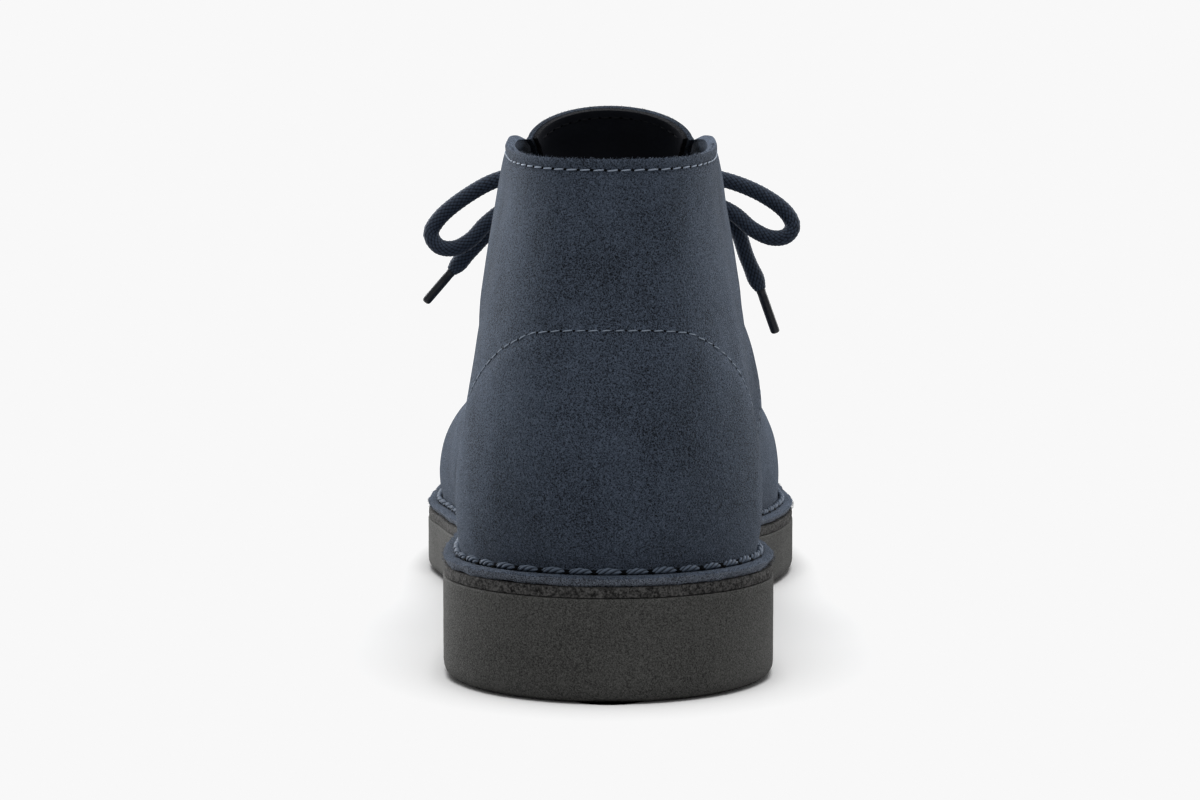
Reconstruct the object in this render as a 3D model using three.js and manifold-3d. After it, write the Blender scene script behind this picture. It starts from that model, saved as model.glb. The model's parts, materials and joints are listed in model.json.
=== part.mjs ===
// Chukka boot, left foot, standing empty on its sole.
// Millimetres. Toe along +Y, inner side of the foot along +X, +Z up.
// The origin is on the ground, under the middle of the heel.
import * as THREE from 'three';
import { mergeVertices } from 'three/addons/utils/BufferGeometryUtils.js';
import Module from 'manifold-3d';

const wasm = await Module();
wasm.setup();

// Rows of numbers as objects, their keys named once.
function table(names, rows) {
  const keys = names.split(' ');
  return rows.map((row) => Object.fromEntries(row.map((value, i) => [keys[i], value])));
}

// ---------- driving dimensions ----------
const HEEL_RADIUS = 37.9;
const HEEL_BACK = -38;
const TOE_TIP = { x: 4.5, y: 262 };
const FLANGE_WIDTH = 4.5;
const LAYER_GAP = 0.3;
const MIDSOLE_THICK = 2.0;
const WALL = 2.1;
const INSOLE_THICK = 3.0;
const SOLE_ROUND = 3.0;
const SOLE_BEVEL = 0.9;
const MIDSOLE_REVEAL = 0.2;
const INSOLE_TAPER = 0.4;
const SOLE_STEPS = 36;
const WALL_STEPS = 8;
const EDGE_SAMPLES = 24;

// Sole edge forward of the heel: distance out from the heel's centre line on each side.
const SOLE_EDGE = table('along lateral medial', [
  [0, 37.9, 37.9],
  [35, 37.3, 35.6],
  [70, 36.8, 33.6],
  [100, 39.6, 38.8],
  [130, 46.2, 49.2],
  [152, 51.0, 53.2],
  [190, 49.0, 51.0],
  [215, 42.2, 46.0],
  [237, 30.2, 36.4],
  [252, 17.8, 25.6],
  [259, 8.4, 16.8],
]);

// Outsole from the side: heel, low arch, ball and toe spring.
const SOLE_PROFILE = table('along under top', [
  [-38, 0, 23.0],
  [0, 0, 22.8],
  [35, 0, 21.8],
  [52, 0, 20.6],
  [66, 3.4, 19.2],
  [88, 4.6, 16.8],
  [108, 1.6, 15.2],
  [122, 0, 14.6],
  [168, 0, 14.6],
  [200, 2.2, 16.6],
  [232, 7.2, 20.8],
  [262, 14.2, 26.6],
]);

// One row per rib of the upper, from the heel's back (0) round to the toe (1).
// centre, out, along and height place the rib's top; up is 1 where it ends at the collar
// and 0 where it ends across the instep; tilt leans the collar inwards (degrees);
// pull and spring are the curve's handles; lean swells the rib above the sole (degrees),
// and arch is what the inner side has more of both (degrees, and per cent of the pull).
const RIBS = table('at centre out along height up tilt pull spring lean arch', [
  [0.000, 0.7, 0.0, -25.5, 117.3, 1, 4, 34, 28, 14, 0],
  [0.050, 0.7, 11.6, -22.3, 117.6, 1, 6, 34, 28, 15, 0],
  [0.100, 0.7, 19.3, -13.8, 118.4, 1, 3, 34, 27, 15, 0],
  [0.153, 0.7, 23.1, -1.0, 119.6, 1, 1, 30, 26, 14, 0],
  [0.210, 0.7, 24.2, 18.0, 121.2, 1, 10, 30, 24, 4, 2],
  [0.254, 0.7, 24.1, 33.0, 122.4, 0.97, 17, 30, 22, -3, 6],
  [0.297, 0.7, 22.9, 48.0, 122.8, 0.85, 17, 28, 25, -3, 14],
  [0.332, 0.7, 19.4, 59.5, 120.8, 0.62, 15, 26, 26, 1, 18],
  [0.356, 0.7, 14.6, 66.0, 113.4, 0.35, 13, 25, 28, 4, 20],
  [0.385, 0.7, 12.0, 73.5, 103.4, 0.12, 13, 24, 28, 8, 22],
  [0.414, 0.7, 10.6, 81.5, 94.0, 0, 13, 28, 27, 12, 21],
  [0.443, 1.0, 9.0, 91.0, 85.5, 0, 13, 31, 26, 15, 18],
  [0.466, 1.2, 6.6, 99.5, 79.6, 0, 13, 32, 23, 17, 12],
  [0.484, 1.4, 0.0, 106.0, 76.4, 0, 13, 33, 25, 17, 5],
  [0.520, 2.2, 0.0, 122.0, 70.2, 0, 13, 38, 26, 17, -2],
  [0.589, 4.0, 0.0, 148.0, 63.2, 0, 13, 40, 24, 16, -7],
  [0.665, 5.4, 0.0, 175.0, 58.6, 0, 13, 39, 21, 12, -4],
  [0.735, 6.2, 0.0, 199.0, 56.2, 0, 13, 32, 20, 8, 0],
  [0.800, 6.2, 0.0, 219.0, 54.6, 0, 13, 25, 18, 7, 0],
  [0.870, 5.8, 0.0, 235.0, 52.0, 0, 13, 15, 15, 7, 0],
  [0.940, 5.0, 0.0, 246.5, 47.2, 0, 13, 9, 12, 7, 0],
  [1.000, 4.6, 0.0, 253.0, 42.4, 0, 13, 5, 7, 7, 0],
]);
const THROAT_BASE = 0.484;
const INSTEP_RADIUS = 27;

// Tongue along its middle line, from under the vamp to its arched top.
const TONGUE = table('step centre along height half radius', [
  [0.00, 1.6, 121.1, 66.5, 10, 30],
  [0.19, 1.2, 104.4, 72.9, 12.5, 28],
  [0.36, 0.9, 92.2, 81.7, 15.5, 25],
  [0.54, 0.8, 80.6, 93.0, 17.5, 23.5],
  [0.68, 0.6, 73.0, 103.0, 18.5, 22.5],
  [0.80, 1.0, 67.9, 112.7, 18.9, 21],
  [0.90, 0.8, 66.4, 121.4, 19.0, 20.6],
  [0.95, 0.8, 64.9, 125.8, 19.4, 20.8],
  [1.00, 0.5, 62.7, 130.2, 20.2, 21.3],
]);
const TONGUE_THICK = 2.6;
const TONGUE_ARCH = { fall: 1.0, fullness: 6 };
const TONGUE_LENGTH = 90;
const TONGUE_STEPS = { up: 12, across: 10 };

const EYELET_RADIUS = 2.3;
const EYELET_SETBACK = 7.5;
const EYELETS = [
  { name: 'upper', at: 0.384 },
  { name: 'lower', at: 0.434 },
];

const LACE_DIAMETER = 4.0;
const LACE_SIDES = 10;
const AGLET_DIAMETER = 2.5;
const AGLET_SIDES = 8;
const BAR_CLEARANCE = 0.5;
const BAR_CROWN = 7.5;
const BAR_STEPS = 6;
const KNOT = { x: 0.9, y: 85.0, z: 110.0, halfWidth: 6.0, halfDepth: 4.6, halfHeight: 5.2 };

// The bow: each strand's route, chosen by hand.
const LACE_STRANDS = [
  {
    name: 'lace_loop_left',
    steps: 13,
    route: [
      [-6.8, 85, 112.2],
      [-16, 86, 113.3],
      [-27.7, 86, 111.8],
      [-36.6, 86, 107.2],
      [-43.6, 85.6, 101.4],
      [-45.6, 85.3, 97.6],
      [-43.6, 84.9, 94.4],
      [-39.6, 84.6, 93.9],
      [-35.2, 84.5, 96.2],
      [-31.2, 84.5, 100.4],
      [-24, 84.6, 105.4],
      [-15.4, 85, 107.4],
      [-6.8, 85, 107.4],
    ],
  },
  {
    name: 'lace_end_left',
    steps: 7,
    route: [
      [-6.6, 88.4, 103.8],
      [-15, 90.5, 103.6],
      [-23.5, 91, 102.3],
      [-30.8, 90, 97.9],
      [-35.4, 90, 93.3],
      [-40.2, 90, 88.2],
    ],
  },
  {
    name: 'lace_loop_right',
    steps: 14,
    route: [
      [8.6, 85, 112.2],
      [18, 86, 113.3],
      [30.4, 86, 111.5],
      [40.2, 86, 107.6],
      [46.4, 85.6, 102.9],
      [47.9, 85.3, 99.4],
      [46.2, 85, 97.0],
      [42.4, 85, 96.6],
      [37.4, 85, 98.9],
      [32.6, 85, 102.9],
      [25.6, 85, 106.0],
      [17, 85, 107.5],
      [8.6, 85, 107.4],
    ],
  },
  {
    name: 'lace_end_right',
    steps: 7,
    route: [
      [8.4, 88.4, 103.8],
      [17, 90.5, 104.0],
      [26, 91.5, 103.8],
      [32.8, 90, 100.0],
      [36.4, 90, 91.2],
      [39.8, 90, 83.4],
    ],
  },
];
const AGLETS = [
  { name: 'aglet_left', from: [-40.6, 90, 87.7], to: [-47.6, 90, 79.6] },
  { name: 'aglet_right', from: [40.0, 90, 82.9], to: [44.1, 90, 71.5] },
];

// ---------- materials ----------
const suede = { color: 0x3a4454, roughness: 0.95, metalness: 0 };
const suedeInside = { color: 0x30394a, roughness: 0.95, metalness: 0 };
const greyRubber = { color: 0x454644, roughness: 0.85, metalness: 0 };
const darkRubber = { color: 0x2b2a29, roughness: 0.9, metalness: 0 };
const insoleCloth = { color: 0x17181b, roughness: 0.9, metalness: 0 };
const laceCotton = { color: 0x1c2430, roughness: 0.9, metalness: 0 };
const agletPlastic = { color: 0x1c1f24, roughness: 0.4, metalness: 0 };

// ---------- small tools ----------
const AXIS_X = new THREE.Vector3(1, 0, 0);
const AXIS_Z = new THREE.Vector3(0, 0, 1);

function point(x, y, z) {
  return new THREE.Vector3(x, y, z);
}

// Smooth value of a table's column that never overshoots its rows.
function column(rows, key, name, at) {
  const last = rows.length - 1;
  if (at <= rows[0][key]) {
    return rows[0][name];
  }
  if (at >= rows[last][key]) {
    return rows[last][name];
  }
  let row = 0;
  while (rows[row + 1][key] < at) {
    row += 1;
  }
  const slopeAfter = (i) => (rows[i + 1][name] - rows[i][name]) / (rows[i + 1][key] - rows[i][key]);
  const tangent = (i) => {
    if (i === 0) {
      return slopeAfter(0);
    }
    if (i === last) {
      return slopeAfter(last - 1);
    }
    const before = slopeAfter(i - 1);
    const after = slopeAfter(i);
    return before * after <= 0 ? 0 : (2 * before * after) / (before + after);
  };
  const width = rows[row + 1][key] - rows[row][key];
  const t = (at - rows[row][key]) / width;
  const start = rows[row][name];
  const end = rows[row + 1][name];
  const startBend = tangent(row) * width;
  const endBend = tangent(row + 1) * width;
  return start * (1 + 2 * t) * (1 - t) ** 2
    + startBend * t * (1 - t) ** 2
    + end * t * t * (3 - 2 * t)
    - endBend * t * t * (1 - t);
}

const soleTop = (along) => column(SOLE_PROFILE, 'along', 'top', along);
const soleUnder = (along) => column(SOLE_PROFILE, 'along', 'under', along);
const flangeBottom = (along) => soleTop(along) + MIDSOLE_THICK + 2 * LAYER_GAP;
const flangeTop = (along) => flangeBottom(along) + WALL;

// One closed mesh from four-cornered and three-cornered faces, its shared points merged.
class Skin {
  constructor() {
    this.corners = [];
  }

  triangle(a, b, c) {
    this.corners.push(...a.toArray(), ...b.toArray(), ...c.toArray());
  }

  quad(a, b, c, d) {
    this.triangle(a, b, c);
    this.triangle(a, c, d);
  }

  // Faces between two rows of points of equal length; turned swaps their side.
  strip(first, second, turned = false) {
    for (let i = 0; i + 1 < first.length; i += 1) {
      if (turned) {
        this.quad(first[i], second[i], second[i + 1], first[i + 1]);
      } else {
        this.quad(first[i], first[i + 1], second[i + 1], second[i]);
      }
    }
  }

  geometry() {
    const loose = new THREE.BufferGeometry();
    loose.setAttribute('position', new THREE.Float32BufferAttribute(this.corners, 3));
    return tidied(loose);
  }
}

// Merges shared points and drops the faces that the merge leaves without area.
function tidied(loose) {
  loose.deleteAttribute('normal');
  loose.deleteAttribute('uv');
  const merged = mergeVertices(loose, 1e-3);
  const index = merged.getIndex().array;
  const kept = [];
  for (let i = 0; i < index.length; i += 3) {
    const [a, b, c] = [index[i], index[i + 1], index[i + 2]];
    if (a !== b && b !== c && c !== a) {
      kept.push(a, b, c);
    }
  }
  merged.setIndex(kept);
  return merged;
}

function toManifold(geometry) {
  const closed = tidied(geometry.clone());
  return new wasm.Manifold(new wasm.Mesh({
    numProp: 3,
    vertProperties: Float32Array.from(closed.getAttribute('position').array),
    triVerts: Uint32Array.from(closed.getIndex().array),
  }));
}

function fromManifold(solid) {
  const mesh = solid.getMesh();
  const geometry = new THREE.BufferGeometry();
  geometry.setAttribute('position', new THREE.BufferAttribute(Float32Array.from(mesh.vertProperties), 3));
  geometry.setIndex(new THREE.BufferAttribute(Uint32Array.from(mesh.triVerts), 1));
  return geometry;
}

const boot = new THREE.Group();

function addPart(name, geometry, finish) {
  geometry.computeVertexNormals();
  const mesh = new THREE.Mesh(geometry, new THREE.MeshStandardMaterial(finish));
  mesh.name = name;
  boot.add(mesh);
}

// ---------- sole edge ----------
const SIDES = { lateral: -1, medial: 1 };

// The half of the sole's edge on one side, from the heel's back to the toe tip.
function edgeCurve(side) {
  const corners = [];
  for (const degrees of [-20, 0, 20, 45, 70]) {
    const turn = THREE.MathUtils.degToRad(degrees);
    const x = SIDES[side] * HEEL_RADIUS * Math.sin(turn);
    corners.push(point(x, HEEL_BACK * Math.cos(turn), 0));
  }
  for (const row of SOLE_EDGE) {
    corners.push(point(SIDES[side] * row[side], row.along, 0));
  }
  corners.push(point(TOE_TIP.x, TOE_TIP.y, 0));
  const other = side === 'lateral' ? 'medial' : 'lateral';
  const beyond = SOLE_EDGE[SOLE_EDGE.length - 1];
  corners.push(point(SIDES[other] * beyond[other], beyond.along, 0));
  return new THREE.CatmullRomCurve3(corners, false, 'centripetal');
}

// Fine samples between the heel's back and the toe tip, with their distance along the edge.
function edgeSamples(side) {
  const curve = edgeCurve(side);
  const spans = curve.points.length - 1;
  const samples = [];
  let travelled = 0;
  for (let i = EDGE_SAMPLES; i <= (spans - 1) * EDGE_SAMPLES; i += 1) {
    const place = curve.getPoint(i / (spans * EDGE_SAMPLES));
    if (samples.length > 0) {
      travelled += place.distanceTo(samples[samples.length - 1].place);
    }
    samples.push({ place, travelled });
  }
  return samples;
}

const EDGE = { lateral: edgeSamples('lateral'), medial: edgeSamples('medial') };

// Point on the sole's edge at a fraction of its half length, and the level way in from there.
function edgeAt(side, fraction) {
  if (fraction === 0) {
    return { place: point(0, HEEL_BACK, 0), inward: point(0, 1, 0) };
  }
  if (fraction === 1) {
    return { place: point(TOE_TIP.x, TOE_TIP.y, 0), inward: point(0, -1, 0) };
  }
  const samples = EDGE[side];
  const last = samples.length - 1;
  const target = fraction * samples[last].travelled;
  let i = 0;
  while (i + 2 < samples.length && samples[i + 1].travelled < target) {
    i += 1;
  }
  const a = samples[i];
  const b = samples[i + 1];
  const place = a.place.clone().lerp(b.place, (target - a.travelled) / (b.travelled - a.travelled));
  const before = samples[Math.max(i - 2, 0)].place;
  const after = samples[Math.min(i + 3, last)].place;
  const ahead = after.clone().sub(before).normalize();
  const inward = point(-ahead.y, ahead.x, 0).multiplyScalar(SIDES[side]);
  return { place, inward };
}

function insetEdge(side, fraction, inset, heightAt) {
  const { place, inward } = edgeAt(side, fraction);
  const spot = place.clone().addScaledVector(inward, inset);
  spot.z = heightAt(spot.y);
  return spot;
}

// Fractions of the half edge at which the pieces have their stations.
function stations(spans) {
  const list = [0];
  for (const span of spans) {
    const from = list[list.length - 1];
    for (let i = 1; i <= span.steps; i += 1) {
      list.push(from + ((span.to - from) * i) / span.steps);
    }
  }
  return list;
}

// ---------- sole layers ----------
// A layer is a pile of levels, lowest first, each the sole's edge drawn in by its inset.
function soleLayer(levels, fractions) {
  const skin = new Skin();
  const rings = levels.map((level) => {
    const lateral = fractions.map((at) => insetEdge('lateral', at, level.inset, level.height));
    const medial = fractions.map((at) => insetEdge('medial', at, level.inset, level.height));
    return { lateral, medial };
  });
  for (let i = 0; i + 1 < rings.length; i += 1) {
    skin.strip(rings[i].lateral, rings[i + 1].lateral, true);
    skin.strip(rings[i].medial, rings[i + 1].medial);
  }
  skin.strip(rings[0].lateral, rings[0].medial);
  const top = rings[rings.length - 1];
  skin.strip(top.lateral, top.medial, true);
  return skin.geometry();
}

const soleStations = stations([{ to: 1, steps: SOLE_STEPS }]);

function outsole() {
  return soleLayer([
    { inset: SOLE_ROUND, height: soleUnder },
    { inset: SOLE_BEVEL, height: (along) => soleUnder(along) + SOLE_BEVEL },
    { inset: 0, height: (along) => soleUnder(along) + SOLE_ROUND },
    { inset: 0, height: soleTop },
  ], soleStations);
}

function midsole() {
  const bottom = (along) => soleTop(along) + LAYER_GAP;
  return soleLayer([
    { inset: MIDSOLE_REVEAL, height: bottom },
    { inset: MIDSOLE_REVEAL, height: (along) => bottom(along) + MIDSOLE_THICK },
  ], soleStations);
}

function insole() {
  const inset = FLANGE_WIDTH + WALL + 2 * LAYER_GAP;
  return soleLayer([
    { inset, height: flangeBottom },
    { inset: inset + INSOLE_TAPER, height: (along) => flangeBottom(along) + INSOLE_THICK },
  ], soleStations);
}

// ---------- upper ----------
// Which way the upper's top line runs, seen from the side.
function topLineAhead(at) {
  const reach = 0.004;
  const from = Math.max(at - reach, 0);
  const to = Math.min(at + reach, 1);
  const along = column(RIBS, 'at', 'along', to) - column(RIBS, 'at', 'along', from);
  const height = column(RIBS, 'at', 'height', to) - column(RIBS, 'at', 'height', from);
  return point(0, along, height).normalize();
}

// The outside of one rib, from the flange's crease up to the collar, facing or vamp ridge.
function rib(side, at) {
  const value = (name) => column(RIBS, 'at', name, at);
  const sign = SIDES[side];
  const { inward } = edgeAt(side, at);
  const foot = insetEdge(side, at, FLANGE_WIDTH, flangeTop);
  const top = point(value('centre') + sign * value('out'), value('along'), value('height'));
  const arch = side === 'medial' ? value('arch') : 0;
  const lean = THREE.MathUtils.degToRad(value('lean') + arch);
  const rising = inward.clone().multiplyScalar(-Math.sin(lean)).addScaledVector(AXIS_Z, Math.cos(lean));
  const ahead = topLineAhead(at);
  const proud = point(0, -ahead.z, ahead.y);
  const level = AXIS_X.clone().multiplyScalar(inward.x).addScaledVector(ahead, inward.y).normalize();
  const slope = Math.asin(Math.min(value('out') / INSTEP_RADIUS, 1));
  const across = level.multiplyScalar(Math.cos(slope)).addScaledVector(proud, Math.sin(slope));
  const tilt = THREE.MathUtils.degToRad(value('tilt'));
  const upright = inward.clone().multiplyScalar(Math.sin(tilt)).addScaledVector(AXIS_Z, Math.cos(tilt));
  const arriving = across.lerp(upright, value('up')).normalize();
  return new THREE.CubicBezierCurve3(
    foot,
    foot.clone().addScaledVector(rising, value('spring')),
    top.clone().addScaledVector(arriving, -value('pull') * (1 + arch / 100)),
    top,
  );
}

const upperStations = stations([
  { to: 0.30, steps: 12 },
  { to: THROAT_BASE, steps: 11 },
  { to: 1, steps: 18 },
]);

function ribGrid(side) {
  return upperStations.map((at) => rib(side, at).getPoints(WALL_STEPS));
}

// Unit directions out of the surface at each shared point of the two half grids.
function outwardDirections(grids) {
  const sums = new Map();
  const label = (spot) => spot.toArray().map((value) => value.toFixed(2)).join(' ');
  const add = (spot, direction) => {
    const sum = sums.get(label(spot)) ?? point(0, 0, 0);
    sums.set(label(spot), sum.add(direction));
  };
  for (const side of Object.keys(SIDES)) {
    const grid = grids[side];
    for (let i = 0; i + 1 < grid.length; i += 1) {
      for (let j = 0; j < WALL_STEPS; j += 1) {
        const corners = [grid[i][j], grid[i + 1][j], grid[i + 1][j + 1], grid[i][j + 1]];
        const first = corners[2].clone().sub(corners[0]);
        const second = corners[3].clone().sub(corners[1]);
        const direction = first.cross(second).multiplyScalar(SIDES[side]);
        corners.forEach((corner) => add(corner, direction));
      }
    }
  }
  return (spot) => sums.get(label(spot)).clone().normalize();
}

const outside = { lateral: ribGrid('lateral'), medial: ribGrid('medial') };
const outwardFrom = outwardDirections(outside);

// Closed outline of the upper's wall and flange at one station: up outside, down inside.
function wallSection(side, station) {
  const at = upperStations[station];
  const outer = outside[side][station];
  const inner = outer.slice(1).map((spot) => spot.clone().addScaledVector(outwardFrom(spot), -WALL));
  return [
    ...outer,
    ...inner.reverse(),
    insetEdge(side, at, FLANGE_WIDTH + WALL, flangeBottom),
    insetEdge(side, at, 0, flangeBottom),
    insetEdge(side, at, 0, flangeTop),
    outer[0],
  ];
}

function upperShell() {
  const skin = new Skin();
  const rim = WALL_STEPS;
  const throatStation = upperStations.indexOf(THROAT_BASE);
  for (const side of Object.keys(SIDES)) {
    for (let i = 0; i + 1 < upperStations.length; i += 1) {
      const first = wallSection(side, i);
      const second = wallSection(side, i + 1);
      const turned = side === 'medial';
      if (i < throatStation) {
        skin.strip(first, second, turned);
      } else {
        skin.strip(first.slice(0, rim + 1), second.slice(0, rim + 1), turned);
        skin.strip(first.slice(rim + 1), second.slice(rim + 1), turned);
      }
    }
  }
  return skin.geometry();
}

// Middle of an eyelet on the upper's outside, and the way out of the wall there.
function eyeletPlace(side, at) {
  const curve = rib(side, at);
  const share = 1 - EYELET_SETBACK / curve.getLength();
  const spot = curve.getPointAt(share);
  const beside = rib(side, at + 0.01);
  const ahead = beside.getPointAt(1 - EYELET_SETBACK / beside.getLength()).sub(spot);
  const outward = ahead.cross(curve.getTangentAt(share)).multiplyScalar(SIDES[side]).normalize();
  return { spot, outward };
}

function upper() {
  let solid = toManifold(upperShell());
  for (const eyelet of EYELETS) {
    for (const side of Object.keys(SIDES)) {
      const { spot, outward } = eyeletPlace(side, eyelet.at);
      const punch = new THREE.CylinderGeometry(EYELET_RADIUS, EYELET_RADIUS, 4 * WALL, 10);
      punch.applyQuaternion(new THREE.Quaternion().setFromUnitVectors(point(0, 1, 0), outward));
      punch.translate(spot.x, spot.y, spot.z);
      solid = solid.subtract(toManifold(punch));
    }
  }
  return fromManifold(solid);
}

// ---------- tongue ----------
function tonguePoint(step, share, depth) {
  const value = (name) => column(TONGUE, 'step', name, step);
  const reach = 0.01;
  const from = Math.max(step - reach, 0);
  const to = Math.min(step + reach, 1);
  const rise = column(TONGUE, 'step', 'height', to) - column(TONGUE, 'step', 'height', from);
  const run = column(TONGUE, 'step', 'along', to) - column(TONGUE, 'step', 'along', from);
  const proud = point(0, rise, -run).normalize();
  const x = share * value('half');
  const radius = value('radius');
  const bend = Math.asin(x / radius);
  const drop = radius - (radius - depth) * Math.cos(bend);
  const middle = point(value('centre'), value('along'), value('height'));
  return middle.addScaledVector(AXIS_X, (radius - depth) * Math.sin(bend)).addScaledVector(proud, -drop);
}

function tongue() {
  const skin = new Skin();
  const sheets = [0, TONGUE_THICK].map((depth) => {
    const rows = [];
    for (let i = 0; i <= TONGUE_STEPS.up; i += 1) {
      const row = [];
      for (let j = 0; j <= TONGUE_STEPS.across; j += 1) {
        const share = (2 * j) / TONGUE_STEPS.across - 1;
        const rounding = 1 - Math.sqrt(1 - Math.abs(share) ** TONGUE_ARCH.fullness);
        const fall = (TONGUE_ARCH.fall / TONGUE_LENGTH) * rounding;
        row.push(tonguePoint((i / TONGUE_STEPS.up) * (1 - fall), share, depth));
      }
      rows.push(row);
    }
    return rows;
  });
  const [front, back] = sheets;
  const last = TONGUE_STEPS.up;
  for (let i = 0; i < last; i += 1) {
    skin.strip(front[i], front[i + 1], true);
    skin.strip(back[i], back[i + 1]);
  }
  skin.strip(front[0], back[0]);
  skin.strip(front[last], back[last], true);
  const leftEdge = (rows) => rows.map((row) => row[0]);
  const rightEdge = (rows) => rows.map((row) => row[row.length - 1]);
  skin.strip(leftEdge(front), leftEdge(back), true);
  skin.strip(rightEdge(front), rightEdge(back));
  return skin.geometry();
}

// ---------- lace ----------
function cord(route, diameter, sides, steps) {
  const section = new THREE.Shape();
  for (let i = 0; i < sides; i += 1) {
    const turn = (2 * Math.PI * i) / sides;
    const corner = [(diameter / 2) * Math.cos(turn), (diameter / 2) * Math.sin(turn)];
    if (i === 0) {
      section.moveTo(...corner);
    } else {
      section.lineTo(...corner);
    }
  }
  section.closePath();
  const path = new THREE.CatmullRomCurve3(route.map((spot) => point(...spot)), false, 'centripetal');
  return tidied(new THREE.ExtrudeGeometry(section, { steps, extrudePath: path }));
}

// A bar over the throat between the two eyelets of a pair, clear of the suede.
function laceBar(at) {
  const lift = LACE_DIAMETER / 2 + BAR_CLEARANCE;
  const left = eyeletPlace('lateral', at);
  const right = eyeletPlace('medial', at);
  const start = left.spot.clone().addScaledVector(left.outward, lift);
  const end = right.spot.clone().addScaledVector(right.outward, lift);
  const proud = left.outward.clone().add(right.outward).normalize();
  const middle = start.clone().lerp(end, 0.5).addScaledVector(proud, BAR_CROWN);
  const shoulder = (from) => from.clone().lerp(middle, 0.5).addScaledVector(proud, BAR_CROWN / 4);
  const route = [start, shoulder(start), middle, shoulder(end), end];
  return cord(route.map((spot) => spot.toArray()), LACE_DIAMETER, LACE_SIDES, BAR_STEPS);
}

function laceKnot() {
  const knot = new THREE.SphereGeometry(1, 12, 8);
  knot.scale(KNOT.halfWidth, KNOT.halfDepth, KNOT.halfHeight);
  knot.translate(KNOT.x, KNOT.y, KNOT.z);
  return tidied(knot);
}

// ---------- assembly ----------
addPart('outsole', outsole(), greyRubber);
addPart('midsole', midsole(), darkRubber);
addPart('upper', upper(), suede);
addPart('tongue', tongue(), suedeInside);
addPart('insole', insole(), insoleCloth);
for (const eyelet of EYELETS) {
  addPart(`lace_bar_${eyelet.name}`, laceBar(eyelet.at), laceCotton);
}
addPart('lace_knot', laceKnot(), laceCotton);
for (const strand of LACE_STRANDS) {
  addPart(strand.name, cord(strand.route, LACE_DIAMETER, LACE_SIDES, strand.steps), laceCotton);
}
for (const tip of AGLETS) {
  addPart(tip.name, cord([tip.from, tip.to], AGLET_DIAMETER, AGLET_SIDES, 1), agletPlastic);
}

export default boot;
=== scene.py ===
# Chukka boot, left foot, standing empty on its sole: navy suede, stitched down on a grey rubber sole.
# Tables and sizes are in millimetres, and meshes are made in metres.
# Toe along +Y, inner side of the foot along +X, +Z up.
import json
import math

import bmesh
import bpy
import numpy as np
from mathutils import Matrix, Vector, noise

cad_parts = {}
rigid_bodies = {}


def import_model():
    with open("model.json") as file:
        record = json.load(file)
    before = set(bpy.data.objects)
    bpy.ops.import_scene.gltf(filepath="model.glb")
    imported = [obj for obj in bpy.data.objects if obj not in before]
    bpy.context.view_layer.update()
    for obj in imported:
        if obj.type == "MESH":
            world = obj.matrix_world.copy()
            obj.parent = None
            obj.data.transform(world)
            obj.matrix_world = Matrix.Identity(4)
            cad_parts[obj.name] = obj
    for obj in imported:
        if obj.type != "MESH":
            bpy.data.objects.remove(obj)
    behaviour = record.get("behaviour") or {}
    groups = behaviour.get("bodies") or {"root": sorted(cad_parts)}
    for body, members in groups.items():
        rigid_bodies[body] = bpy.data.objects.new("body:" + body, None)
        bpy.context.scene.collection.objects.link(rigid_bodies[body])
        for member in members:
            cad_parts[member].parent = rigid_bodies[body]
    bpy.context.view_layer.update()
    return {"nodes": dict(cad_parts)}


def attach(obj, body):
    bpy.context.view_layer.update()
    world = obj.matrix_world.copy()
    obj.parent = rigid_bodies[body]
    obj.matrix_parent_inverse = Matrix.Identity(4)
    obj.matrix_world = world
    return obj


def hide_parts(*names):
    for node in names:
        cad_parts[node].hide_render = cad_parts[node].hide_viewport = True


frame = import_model()

MM = 0.001
X_AXIS, Y_AXIS, Z_AXIS = np.eye(3)

# ---------- camera ----------
CAMERA_PLACE = (-1.9, -608.0, 120.0)
CAMERA_DIP = 5.4
CAMERA_LENS = 80.34


def add_camera():
    data = bpy.data.cameras.new("camera")
    data.lens = CAMERA_LENS
    data.sensor_width = 36
    data.clip_start = 0.01
    camera = bpy.data.objects.new("camera", data)
    camera.location = [value * MM for value in CAMERA_PLACE]
    camera.rotation_euler = (math.radians(90 - CAMERA_DIP), 0, 0)
    bpy.context.scene.collection.objects.link(camera)
    bpy.context.scene.camera = camera


add_camera()

# ---------- driving sizes ----------
HEEL_RADIUS = 37.9
HEEL_BACK = -38.0
TOE_TIP = (4.5, 262.0)
FLANGE_WIDTH = 4.5
LAYER_GAP = 0.3
MIDSOLE_THICK = 2.0
MIDSOLE_INSET = 0.2
WALL = 2.1
SOLE_ROUND = 3.0
INSTEP_RADIUS = 27.0
TONGUE_THICK = 2.6
TONGUE_ARCH = 1.0
TONGUE_FULLNESS = 6.0
TONGUE_LENGTH = 90.0
EYELET_RADIUS = 2.3
EYELET_SETBACK = 7.5
UPPER_EYELET = 0.384
LOWER_EYELET = 0.434
LACE_THICK = 4.0
LACE_INSIDE = 4.0
BAR_LIFT = 9.2
BAR_SHOULDER = 7.4
AGLET_THICK = 2.5
KNOT = (0.9, 85.0, 110.0)
SIDES = {"lateral": -1, "medial": 1}


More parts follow.
